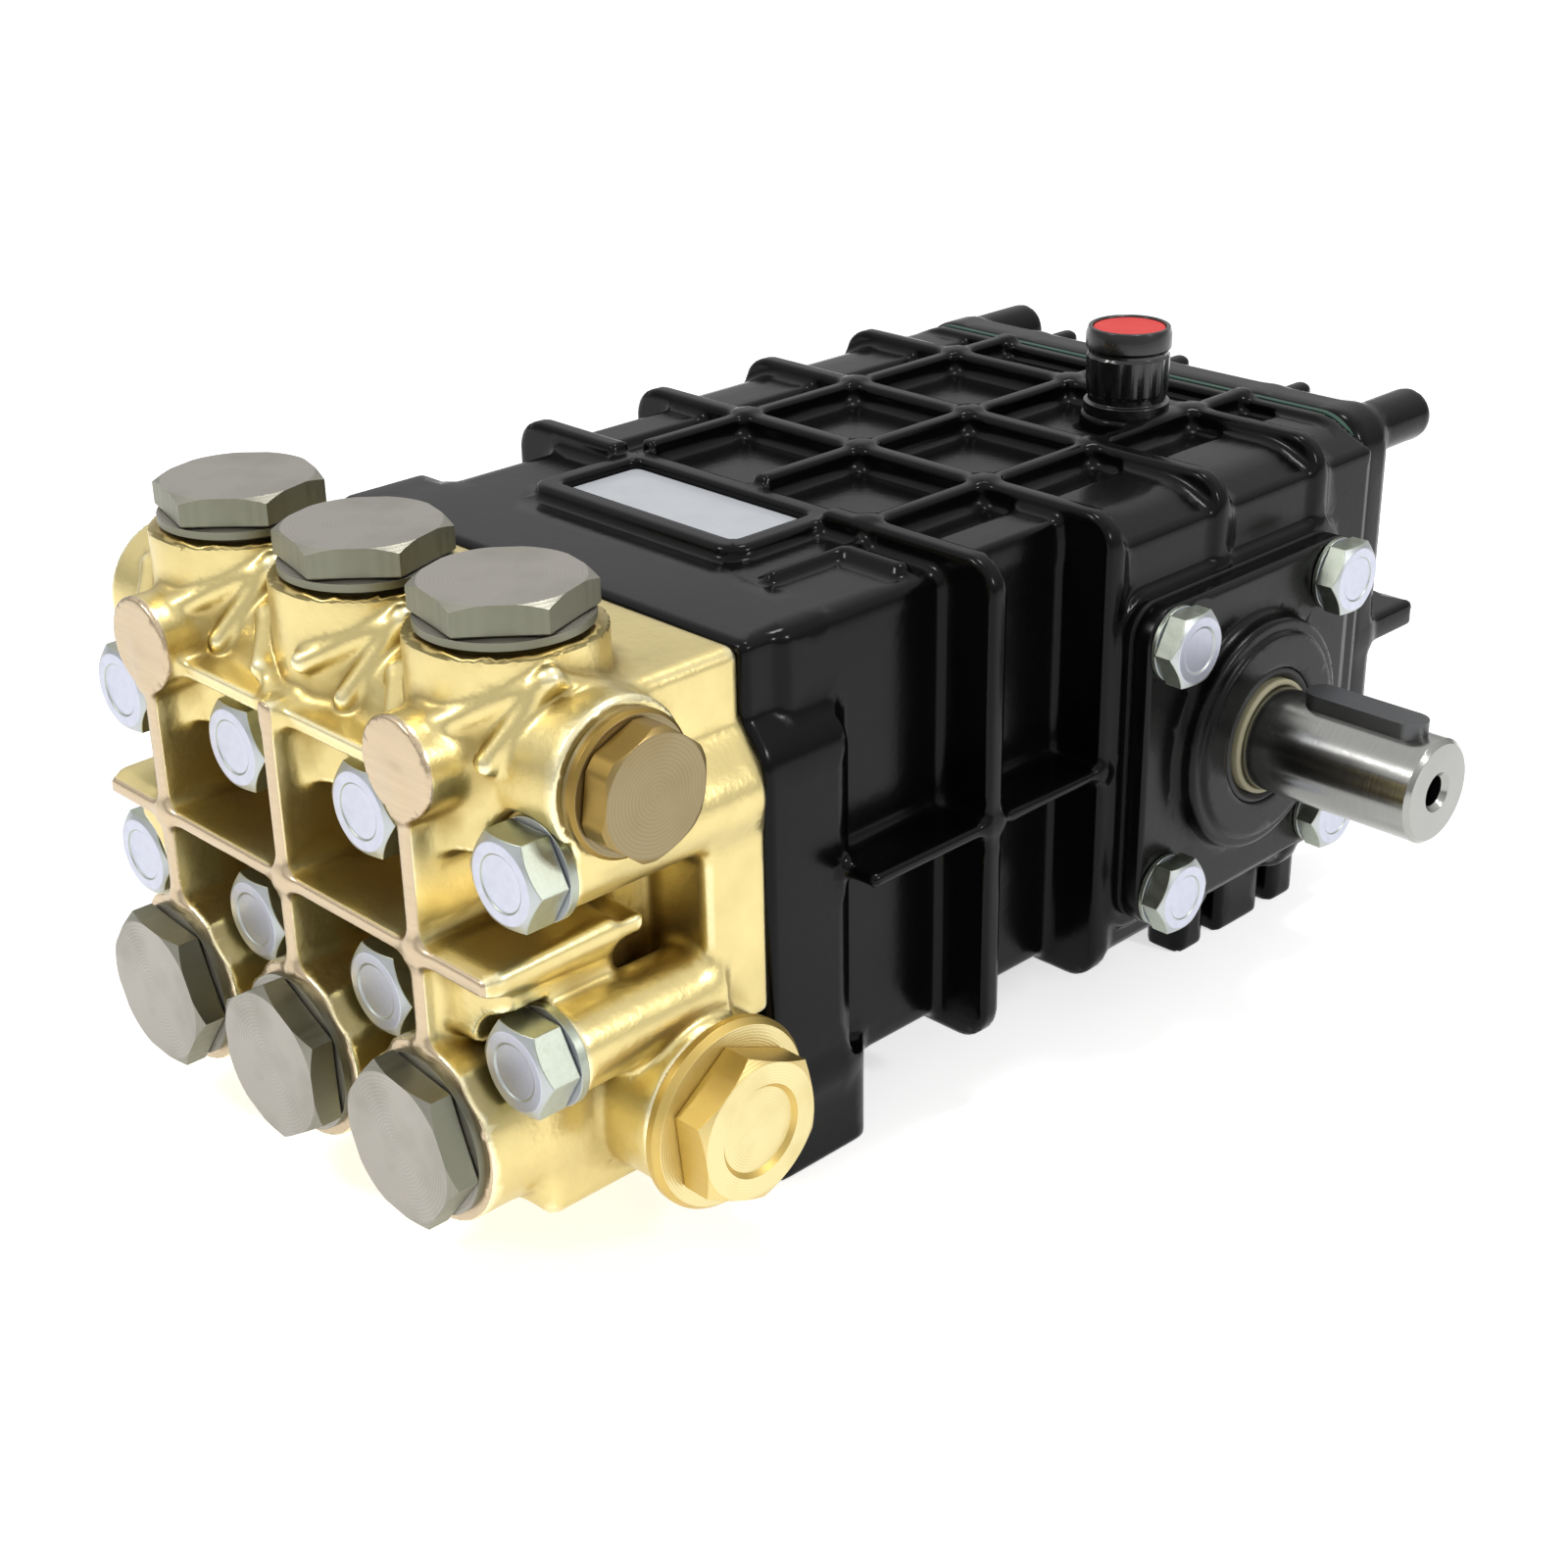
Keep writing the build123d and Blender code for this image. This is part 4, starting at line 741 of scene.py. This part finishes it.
# Record slot and maker of each finish
LOOKS = {
    "cast_brass": ("cast_brass", cast_brass),
    # In each turned finish below, the second colour is the painted reflection on its sides.
    "nickel": ("nickel_plug", lambda t: turned_metal(
        "nickel grey", t.nickel, linear(128, 128, 112), 0.34)),
    "olive": ("olive_brass", lambda t: turned_metal(
        "darkened brass", t.plug_olive, linear(150, 124, 66))),
    "plug": ("bright_brass", lambda t: turned_metal(
        "forged brass", t.plug_brass, linear(206, 178, 104), 0.32, 0.6, 0.02)),
    "washer": ("washer_aluminium", lambda t: turned_metal(
        "soft washer", linear(176, 168, 150), linear(150, 138, 108), 0.35)),
    "zinc": ("zinc_steel", zinc),
    "paint": ("black_paint", lambda t: gloss_black("black paint", t, 0.13, 0.03, 0.14, True)),
    "flange_paint": ("black_paint", lambda t: gloss_black(
        "flange paint", t, 0.2, 0.02, 0.2, False)),
    "plastic": ("black_plastic", lambda t: moulded("black plastic", linear(14, 14, 15), 0.2, 0.3)),
    "red": ("red_plastic", lambda t: moulded("red plastic", t.red, 0.45)),
    "label": ("label_white", lambda t: moulded("label film", t.label, 0.35, 0.15, 0.01)),
    "gasket": ("gasket_green", lambda t: moulded("gasket sheet", t.gasket, 0.55, 0.0, 0.05)),
    "shim": ("shim_paper", lambda t: moulded("shim sheet", linear(34, 34, 34), 0.5, 0.0, 0.03)),
    "seal": ("seal_lip", lambda t: moulded("seal lip", t.seal, 0.42)),
    "rubber": ("seal_lip", lambda t: moulded("seal rubber", linear(28, 28, 27), 0.5)),
    "key": ("key_steel", lambda t: moulded("key steel", t.key, 0.34, metal=1.0)),
    "ground": ("ground_steel", ground_steel),
    "lens": ("sight_clear", lambda t: sight_lens()),
}
_made = {}


def finish(look):
    """Material of a finish, made once."""
    if look not in _made:
        _, maker = LOOKS[look]
        _made[look] = maker(bpy.context.scene.pump_finishes)
    return _made[look]


class PUMP_OT_head(bpy.types.Operator):
    """Cast the brass head with its towers, barrels, galleries, bolt columns and webs"""
    bl_idname = "pump.head"
    bl_label = "Brass head"

    def execute(self, context):
        s = sizes(context.scene.pump_head)
        head = Casting((-83, -159, 5), (83, -85, 130), 0.72)
        cylinders = [i * s.pitch for i in CYLINDERS]
        bolts = [(i * s.pitch, z) for i in BOLT_COLUMNS for z in (s.bolt_upper_z, s.bolt_lower_z)]
        # Plate behind, wide block over the upper bolts, core and galleries
        head.join(bar(1, seam_outline(43), s.seam, s.seam - 16, 2))
        head.join(block((-66, -119, 86), (66, s.seam, 121), 3))
        head.join(block((-54, -126, 10), (54, s.seam, 115), 4), 3)
        head.join(rod(0, (s.tower_y, s.delivery_z), 16, -s.delivery_end, s.delivery_end, 0.8), 3)
        head.join(rod(0, (s.suction_y, s.suction_z), 18.5, -s.suction_end, s.suction_end, 1.2), 2.5)
        # Blocks under the outer bolt columns, and the web between these
        for side in SIDES:
            head.join(block(*mirrored(side, (40, -140, 12), (61.5, -112, 50)), 3), 3)
            head.join(block(*mirrored(side, (44, -150, 53), (64, -121, 70)), 4), 4)
            head.join(block(*mirrored(side, (50, -152, 70), (66, -116, 74)), 1.4), 3)
        # Towers, barrels and bolt columns
        for x in cylinders:
            head.join(rod(2, (x, s.tower_y), s.valve_r, 92, s.tower_top, 0.7), 3)
            head.join(rod(1, (x, s.barrel_z), s.valve_r, s.barrel_front, s.suction_y, 0.7), 3)
        for x, z in bolts:
            rear = -102 if abs(x) > s.pitch and z < 60 else s.seam - 2
            head.join(rod(1, (x, z), 9.3, s.bolt_y, rear, 1.5), 3)
        # Drafted webs between the valve bosses
        for x in cylinders:
            outline = [(x - 1.7, s.web_y), (x + 1.7, s.web_y), (x + 3.4, -124), (x - 3.4, -124)]
            head.join(bar(2, outline, 50, 110, 0.5), 4)
        outline = [(s.web_y, 70.2), (-124, 68.4), (-124, 75), (s.web_y, 73.2)]
        head.join(bar(0, outline, -64.5, 64.5, 0.5), 4)
        outline = [(-152, 105.4), (-124, 103.4), (-124, 110.6), (-152, 108.6)]
        head.join(bar(0, outline, -43.5, 43.5, 0.6), 4)
        # Machined discs
        for x in (-s.pitch, s.pitch):
            head.join(rod(1, (x, 110.2), 10.2, -155.3, s.tower_y, 0.5), 3)
        # Gussets that fan out from the feet of the towers
        for x in cylinders:
            for peak, feet in GUSSETS:
                for foot in feet:
                    start, end = ((x + along, y, z) for along, y, z in (peak, foot))
                    head.join(limb(start, end, 2.0, 2.4), 1.6)
        # Spot faces under the bolts
        for x, z in bolts:
            head.cut(rod(1, (x, z), 11.5, s.bolt_y, -160, 0.2), 0.8)
        # Threaded ports at both ends of the galleries
        for y, z, radius, end in ((s.tower_y, s.delivery_z, 9.5, s.delivery_end),
                                  (s.suction_y, s.suction_z, 15.15, s.suction_end)):
            for side in SIDES:
                inner, mouth, outer = (side * (end + along) for along in (-PORT_DEPTH, -1, 3))
                head.cut(rod(0, (y, z), radius, inner, outer, 0.2), 0.6)
                head.cut(rod(0, (y, z), radius + 1.2, mouth, outer, 0.2), 0.8)
        cast(head, "head_casting", "head_casting", "cast_brass", "manifold_head", faceting=0.03)
        return {"FINISHED"}


class PUMP_OT_caps(bpy.types.Operator):
    """Turn the six hexagon valve caps"""
    bl_idname = "pump.caps"
    bl_label = "Valve caps"

    def execute(self, context):
        s = sizes(context.scene.pump_head)
        rings = [(14, -6), (14, 0), (17.2, 0), (17.2, 1.6)] + hex_head(CAP_FLATS, 6.2, 15.8, 2.0)
        cap = spun("valve_cap", rings, bevel=0.25)
        turns = zip(CYLINDERS, (45, 47, 49), (54, 32, 52))
        for number, (i, top_turn, front_turn) in enumerate(turns, start=1):
            x = i * s.pitch
            fitted(cap, f"delivery_cap_{number}", (x, s.tower_y, s.tower_top), "+Z", "nickel",
                   f"delivery_valve_cap_{number}", turn=top_turn)
            fitted(cap, f"suction_cap_{number}", (x, s.barrel_front, s.barrel_z), "-Y", "nickel",
                   f"suction_valve_cap_{number}", turn=front_turn)
        return {"FINISHED"}


class PUMP_OT_ports(bpy.types.Operator):
    """Turn the two port plugs with their sealing washers"""
    bl_idname = "pump.ports"
    bl_label = "Port plugs"

    def execute(self, context):
        s = sizes(context.scene.pump_head)
        end, at = s.delivery_end, (s.tower_y, s.delivery_z)
        fitted(washer("delivery_washer", 9.6, 14, PORT_WASHER), "delivery_washer", (end, *at),
               "+X", "washer", "delivery_port_washer")
        rings = [(9.4, -12), (9.4, 0), (14.4, 0), (14.4, 1.2), (13.6, 2.0)]
        rings += hex_head(DELIVERY_PLUG_FLATS, 6.5, 11.85, 2.0, corner_r=13.0)
        fitted(spun("delivery_plug", rings, bevel=0.25), "delivery_plug",
               (end + PORT_WASHER, *at), "+X", "olive", "delivery_port_plug", turn=21.6)
        end, at = s.suction_end, (s.suction_y, s.suction_z)
        fitted(washer("suction_washer", 15.25, 18.5, PORT_WASHER), "suction_washer", (end, *at),
               "+X", "washer", "suction_port_washer")
        rings = [(15, -12), (15, 0), (20.3, 0), (20.3, 1.6), (19.2, 3.0)]
        rings += hex_head(SUCTION_PLUG_FLATS, 8, 14.4, 3.0, recess=(9.0, 1.0))
        fitted(spun("suction_plug", rings, bevel=0.7), "suction_plug",
               (end + PORT_WASHER, *at), "+X", "plug", "suction_port_plug", turn=36)
        return {"FINISHED"}


class PUMP_OT_head_bolts(bpy.types.Operator):
    """Set the eight head bolts with their washers"""
    bl_idname = "pump.head_bolts"
    bl_label = "Head bolts"

    def execute(self, context):
        s = sizes(context.scene.pump_head)
        ring = washer("head_washer", 6.1, 10.4, HEAD_WASHER)
        rings = [(6, -8), (6, 0)] + hex_head(HEAD_BOLT_FLATS, 8, 8.1, recess=(5.6, 0.35))
        bolt = spun("head_bolt", rings)
        for row, z in (("upper", s.bolt_upper_z), ("lower", s.bolt_lower_z)):
            for number, i in enumerate(BOLT_COLUMNS, start=1):
                x = i * s.pitch
                fitted(ring, f"head_washer_{row}_{number}", (x, s.bolt_y, z), "-Y", "zinc",
                       "head_bolt_washers")
                fitted(bolt, f"head_bolt_{row}_{number}", (x, s.bolt_y - HEAD_WASHER, z), "-Y",
                       "zinc", f"head_bolts_{row}")
        return {"FINISHED"}


class PUMP_OT_case(bpy.types.Operator):
    """Cast the ribbed crankcase with its legs, hoops, label rim and bearing housings"""
    bl_idname = "pump.case"
    bl_label = "Crankcase"

    def execute(self, context):
        s = sizes(context.scene.pump_case)
        middle, hoop_2 = s.middle, s.hoop_front + s.hoop_pitch
        case = Casting((-76, -92, -3), (86, 107, 130), 0.8)
        # Narrow front bays, wide rear bays and the rim before the rear gasket
        case.join(block((middle - s.half, -80, s.bottom), (middle + s.half, 20, s.top), 3))
        wall = s.rear_half
        right = [(wall - 5, s.bottom), (wall, 20.5), (wall, 118.5), (wall - 9.8, 123)]
        wide = [(middle - 70, s.bottom)] + [(middle + x, z) for x, z in right]
        wide += [(middle - x, z) for x, z in right[:0:-1]]
        case.join(bar(1, wide, hoop_2, s.rear, 1.2), 2)
        low, high = (middle - TOP_FIELD_HALF, hoop_2 - 4), (middle + TOP_FIELD_HALF, s.rear + 4)
        case.cut(block((*low, s.top), (*high, 130), 0.4), 2)
        low, high = rear_corners(middle)
        case.join(plate(1, low, high, 12, s.rear - 4, s.rear, 0.8), 1.5)
        for side in SIDES:
            low, high = (TOP_FIELD_HALF, s.hoop_front, 114), (s.half, hoop_2 + 2, 123)
            case.join(block(*mirrored(side, low, high, middle), 1.4), 1.5)
        # Front block with its sloping shoulders
        case.join(bar(1, seam_outline(s.bottom), -89, -65, 2.2), 2)
        case.join(block((-66, -89, 90), (66, -65, s.top), 2.2), 2)
        # Front legs and rear feet, cut flat on the floor
        for side in SIDES:
            case.join(plate(2, *mirrored(side, (42, -89), (72, -59)), 5, -8, 22, 1), 4)
            case.join(plate(2, *mirrored(side, (42, 65), (72, 83)), 2.5, -8, 22, 1), 3)
            for y in (55, 93):
                case.join(plate(2, *mirrored(side, (61, y - 5.5), (72, y + 5.5)), 3, -8, 22, 1), 3)
        case.cut(block((-90, -100, -20), (90, 120, 0), 0.2), 0.9)
        # Hoops round the case and ribs along it
        for i in HOOPS:
            y = s.hoop_front + i * s.hoop_pitch
            low, high = (middle - s.hoop_half, 14), (middle + s.hoop_half, s.hoop_top)
            case.join(plate(1, low, high, 8, y - 2.5, y + 2.5, 1.1), 3)
        for i in CYLINDERS:
            x = middle + i * s.rib_pitch
            case.join(block((x - 2, s.hoop_front, 115), (x + 2, s.rear, s.hoop_top), 1.0), 3)
        low, high = (middle - s.hoop_half, -68, 65.7), (middle + s.hoop_half, hoop_2, 68.7)
        case.join(block(low, high, 1.2), 3)
        # Bearing housings
        low, high = (s.shaft_y - 40.5, s.shaft_z - 40.5), (s.shaft_y + 40.5, s.shaft_z + 40.5)
        case.join(plate(0, low, high, 8, middle - s.housing, middle + s.housing, 0.8), 2)
        # Label field and its rim
        case.cut(block((-35.3, -59.5, s.top), (32.3, -25.5, 135), 0.4), 1.0)
        case.join(plate(2, (-35.3, -59.5), (32.3, -25.5), 6, 116, 124, 1.3), 2)
        case.cut(plate(2, (-29.75, -54), (26.75, -31), 2.2, s.top - 0.4, 135, 0.3), 0.8)
        # Small boss and bar beside the label
        case.join(block((46, -42, 118), (63, -38, 123.6), 1.4), 2.5)
        case.join(block((43.8, -62, 118), (46.4, -29, 123.2), 1.1), 2)
        # Filler neck and foot holes
        case.join(rod(2, FILLER_PLACE, 11, 115, 126.5, 1.0), 2.5)
        for x in (-57, 57):
            for y in (-74, 74):
                case.cut(rod(2, (x, y), 4.25, -10, 16, 0.3), 0.8)
        parts = [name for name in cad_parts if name.startswith("case_")]
        cast(case, "case_casting", "case_casting", "paint", *parts, "crankcase")
        dress(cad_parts["label_plate"], "label")
        return {"FINISHED"}


class PUMP_OT_flanges(bpy.types.Operator):
    """Make the two bearing flanges with their shims, screws and washers"""
    bl_idname = "pump.flanges"
    bl_label = "Bearing flanges"

    def execute(self, context):
        s = sizes(context.scene.pump_case)
        y, z, half = s.shaft_y, s.shaft_z, s.flange_half
        ring = washer("flange_washer", 5.1, 8.5, FLANGE_WASHER)
        rings = [(5, -5), (5, 0)] + hex_head(FLANGE_BOLT_FLATS, 5.6, 7.3, recess=(5.0, 0.3))
        bolt = spun("flange_bolt", rings, bevel=0.18)
        offsets = (-FLANGE_SCREW_HALF, FLANGE_SCREW_HALF)
        screws = [(y + dy, z + dz) for dy in offsets for dz in offsets]
        for side, end, toward in ((1, "drive", "+X"), (-1, "blind", "-X")):
            def reach(extra):
                return s.middle + side * (s.housing + extra)
            near, far = sorted((reach(0), reach(15)))
            flange = Casting((near, y - 41, z - 41), (far, y + 41, z + 41), 0.55)
            low, high = (y - half, z - half), (y + half, z + half)
            flange.join(plate(0, low, high, 8, reach(1), reach(6), 0.9))
            flange.join(rod(0, (y, z), 27.5, reach(3), reach(11), 1.2), 2.5)
            flange.join(rod(0, (y, z), 24.3, reach(3), reach(12.2), 0.6), 0.8)
            if end == "drive":
                flange.cut(rod(0, (y, z), 16, reach(6.2), reach(15), 0.2), 0.9)
            else:
                flange.cut(rod(0, (y, z), 17, reach(11.2), reach(15), 0.4), 0.9)
            for screw in screws:
                flange.cut(rod(0, screw, 9.4, reach(6.0), reach(15), 0.2), 0.6)
            cast(flange, f"bearing_flange_{end}_cast", f"flange_{end}", "flange_paint",
                 f"bearing_flange_{end}")
            dress(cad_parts[f"bearing_shim_{end}"], "shim")
            for number, screw in enumerate(screws, start=1):
                fitted(ring, f"flange_washer_{end}_{number}", (reach(6), *screw), toward, "zinc",
                       f"flange_washers_{end}")
                fitted(bolt, f"flange_bolt_{end}_{number}", (reach(6 + FLANGE_WASHER), *screw),
                       toward, "zinc", f"flange_bolts_{end}")
        return {"FINISHED"}


class PUMP_OT_shaft(bpy.types.Operator):
    """Turn the keyed crankshaft end and its seal"""
    bl_idname = "pump.shaft"
    bl_label = "Drive shaft"

    def execute(self, context):
        s = sizes(context.scene.pump_case)
        face = s.middle + s.housing + 12.2
        place = (face, s.shaft_y, s.shaft_z)
        rings = [(16, -6), (16, -0.5), (15.2, 0.0), (14.4, -0.6), (13.6, -1.4), (13.6, -6)]
        ring = spun("seal_ring", rings, bevel=0.15, closed=False)
        fitted(ring, "seal_ring", place, "+X", "rubber", "shaft_seal")
        rings = [(13.55, -5), (13.55, 0.4), (13.1, 1.0), (12.5, 0.9), (12.1, 0.3), (12.1, -5)]
        lip = spun("seal_lip", rings, bevel=0.15, closed=False)
        fitted(lip, "seal_lip", place, "+X", "seal", "shaft_seal")
        start, step, end = 44 - face, s.middle + s.housing + 0.7 - face, s.shaft_end - face
        rings = [(17.5, start), (17.5, step), (12, step), (12, end - 1), (11, end), (4.6, end),
                 (3.4, end - 1.2), (3.4, end - 18)]
        fitted(spun("drive_shaft", rings, 128, 0.12), "drive_shaft", place, "+X", "ground",
               "crankshaft", body="crankshaft_body")
        dress(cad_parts["shaft_key"], "key")
        return {"FINISHED"}


class PUMP_OT_rear(bpy.types.Operator):
    """Cast the rear cover and add its gasket, screws, sight glass and drain plug"""
    bl_idname = "pump.rear"
    bl_label = "Rear cover"

    def execute(self, context):
        s = sizes(context.scene.pump_case)
        front, rear, middle = s.cover_y, s.cover_y + 12.5, s.middle
        cover = Casting((-74, front - 3, 9), (86, 146, 130), 0.7)
        cover.join(plate(1, *rear_corners(middle), 12, front, rear, 2.4))
        cover.join(block((2 * middle - 75.5, front, 30), (75.5, rear - 3, 111), 1.6), 2)
        # Corner rods, side lugs and fins
        for side in SIDES:
            cover.join(rod(1, (middle + side * 62.4, 117), 6.5, front, front + 34.5, 2.4), 3)
            low, high = (62 - middle, front, 63), (76 - middle, front + 31.5, 70)
            cover.join(block(*mirrored(side, low, high, middle), 1.8), 3)
        for i in CYLINDERS:
            x = middle + i * s.rib_pitch
            cover.join(block((x - 2.5, front, 26), (x + 2.5, front + 24.5, 122.5), 2.2), 3.5)
        # Bosses under the screws
        spots = [(middle + side * 61, z) for side in SIDES for z in (23, 43, 92)]
        spots += [(middle + side * s.rib_pitch / 2, 23) for side in SIDES]
        for spot in spots:
            cover.join(rod(1, spot, 8, front, rear, 0.8), 2)
        cast(cover, "cover_casting", "cover_casting", "paint", "rear_cover")
        dress(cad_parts["rear_gasket"], "gasket")
        socket = hexagon(COVER_SCREW_SOCKET)
        rings = [(3, -6), (3, 0), (5, 0), (5, 4.4), (4.5, 5), (socket + 0.35, 5), (socket, 4.7),
                 (socket, 2.2)]
        screw = spun("cover_screw", rings, bevel=0.12)
        for number, (x, z) in enumerate(spots, start=1):
            fitted(screw, f"cover_screw_{number}", (x, rear, z), "+Y", "zinc", "rear_cover_bolts")
        place = (middle + s.rib_pitch / 2, rear, 62)
        rings = [(9, 0), (13, 0), (13, 3.6), (11.6, 5), (9.6, 5), (9, 4.2), (9, 1)]
        fitted(spun("sight_ring", rings, closed=False), "sight_ring", place, "+Y", "olive",
               "sight_glass_ring")
        fitted(spun("sight_lens", [(9, 0), (9, 2.2), (7.5, 2.7), (5, 2.95)]), "sight_lens", place,
               "+Y", "lens", "sight_glass")
        place = (middle - s.rib_pitch / 2, rear, 40)
        fitted(spun("drain", hex_head(DRAIN_PLUG_FLATS, 8, 7.8)), "drain_screw", place, "+Y",
               "zinc", "drain_plug")
        return {"FINISHED"}


class PUMP_OT_filler(bpy.types.Operator):
    """Mould the oil filler cap with its red disc"""
    bl_idname = "pump.filler"
    bl_label = "Oil filler"

    def execute(self, context):
        steps, flutes = 160, 16
        grip = 0.14 * np.cos(ring_angles(steps) * flutes)
        rings = [(8, 0), (10.2, 0), (10.2, 2.4), (9.3, 2.8), (9.3, 4.2), (9.7 + grip, 5.0),
                 (9.8 + grip, 13.4), (9.4, 14.0), (9.4, 14.8), (10.1, 15.5), (10.1, 18.6),
                 (9.6, 20.3), (9.1, 20.5), (8.6, 20.2), (8.5, 19.0)]
        fitted(spun("filler_cap", rings, steps, 0.12), "filler_cap", (*FILLER_PLACE, 126.5), "+Z",
               "plastic", "oil_filler")
        rings = [(8.45, 0), (8.45, 0.5), (7.8, 0.7), (3, 0.3)]
        fitted(spun("filler_disc", rings, bevel=0.1), "filler_disc", (*FILLER_PLACE, 145.9), "+Z",
               "red", "oil_filler_disc")
        return {"FINISHED"}


class PUMP_OT_stage(bpy.types.Operator):
    """Set up the camera, the floor, the room light and the lamps"""
    bl_idname = "pump.stage"
    bl_label = "Studio"

    def execute(self, context):
        stage = context.scene.pump_stage
        self.camera(context.scene, stage)
        self.floor(context.scene, stage)
        self.room(context.scene, stage)
        self.lamps(context.scene)
        context.scene.view_settings.view_transform = "Standard"
        return {"FINISHED"}

    def camera(self, scene, stage):
        """Camera at the photo's angle."""
        az, el, roll = stage.azimuth, stage.elevation, stage.roll
        ahead = Vector((-math.sin(az) * math.cos(el), math.cos(az) * math.cos(el), -math.sin(el)))
        right = Vector((math.cos(az), math.sin(az), 0))
        up = right.cross(ahead)
        picture_x = math.cos(roll) * right + math.sin(roll) * up
        picture_y = math.cos(roll) * up - math.sin(roll) * right
        camera = bpy.data.objects.new("camera", bpy.data.cameras.new("camera"))
        scene.collection.objects.link(camera)
        facing = Matrix([picture_x, picture_y, -ahead]).transposed().to_4x4()
        camera.matrix_world = Matrix.Translation(Vector(stage.eye)) @ facing
        camera.data.lens = stage.lens
        camera.data.sensor_width = 36
        camera.data.clip_start = 0.01
        scene.camera = camera

    def floor(self, scene, stage):
        """Floor that is white to the camera where no shadow falls on it."""
        mesh = bpy.data.meshes.new("floor")
        rim = [(FLOOR_RADIUS * math.cos(a), FLOOR_RADIUS * math.sin(a), 0) for a in ring_angles(64)]
        mesh.from_pydata(rim, [], [tuple(range(64))])
        floor = bpy.data.objects.new("floor", mesh)
        scene.collection.objects.link(floor)
        sheet = Finish("studio floor", Roughness=0.9)
        speckle = sheet.grain(3, 2, 0.5)
        sheet.wear(Base_Color=sheet.blend(speckle, (0.86, 0.86, 0.86), (0.9, 0.9, 0.9)))
        seen = sheet.rays("Is Camera Ray", "Is Glossy Ray", "Is Transmission Ray")
        glow = sheet.node("ShaderNodeEmission", {"Strength": seen * stage.glow})
        paper = Value(sheet, sheet.shader.outputs[0])
        both = sheet.node("ShaderNodeAddShader", {0: paper, 1: glow})
        sheet.feed(sheet.tree.nodes["Material Output"], {"Surface": both})
        mesh.materials.append(sheet.material)

    def room(self, scene, stage):
        """Room light, plain white where it is seen and darker towards the floor in mirrors."""
        world = bpy.data.worlds.new("studio")
        world.use_nodes = True
        scene.world = world
        room = Nodes(world.node_tree)
        seen = room.rays("Is Camera Ray", "Is Transmission Ray")
        metal = room.rays("Is Glossy Ray")
        height = room.split(room.place("Generated"), 2)
        mirror = room.ramp(height, (0.0, stage.horizon), (0.55, 1.0))
        strength = seen + metal * mirror + (1 - seen - metal) * stage.ambient
        room.feed(room.tree.nodes["Background"], {"Color": (1, 1, 1), "Strength": strength})

    def lamps(self, scene):
        """Soft lamps: over the head, from the shaft's side and from above."""
        for name, place, size, power in LAMPS:
            lamp = bpy.data.lights.new(name, "AREA")
            lamp.shape = "DISK"
            lamp.size = size
            lamp.energy = power
            holder = bpy.data.objects.new(name, lamp)
            scene.collection.objects.link(holder)
            holder.location = place
            toward = Vector(LAMP_TARGET) - Vector(place)
            holder.rotation_euler = toward.to_track_quat("-Z", "Y").to_euler()


class PUMP_PT_panel(bpy.types.Panel):
    """Lists the pump's steps"""
    bl_idname = "PUMP_PT_panel"
    bl_label = "Pump"
    bl_space_type = "VIEW_3D"
    bl_region_type = "UI"
    bl_category = "Pump"

    def draw(self, context):
        for step in STEPS:
            self.layout.operator(step.bl_idname)
        for group in GROUPS:
            box = self.layout.box()
            settings = getattr(context.scene, group)
            for key in type(settings).__annotations__:
                box.prop(settings, key)


GROUPS = {"pump_head": PumpHeadSizes, "pump_case": PumpCaseSizes, "pump_finishes": PumpFinishes,
          "pump_stage": PumpStage}
STEPS = (PUMP_OT_head, PUMP_OT_caps, PUMP_OT_ports, PUMP_OT_head_bolts, PUMP_OT_case,
         PUMP_OT_flanges, PUMP_OT_shaft, PUMP_OT_rear, PUMP_OT_filler, PUMP_OT_stage)


def register():
    for name, group in GROUPS.items():
        bpy.utils.register_class(group)
        setattr(bpy.types.Scene, name, bpy.props.PointerProperty(type=group))
    for step in STEPS:
        bpy.utils.register_class(step)
    bpy.utils.register_class(PUMP_PT_panel)


def unregister():
    bpy.utils.unregister_class(PUMP_PT_panel)
    for step in reversed(STEPS):
        bpy.utils.unregister_class(step)
    for name, group in GROUPS.items():
        delattr(bpy.types.Scene, name)
        bpy.utils.unregister_class(group)


def main():
    """Builds the pump and its studio."""
    register()
    for step in STEPS:
        family, name = step.bl_idname.split(".")
        getattr(getattr(bpy.ops, family), name)()


if __name__ == "__main__":
    main()
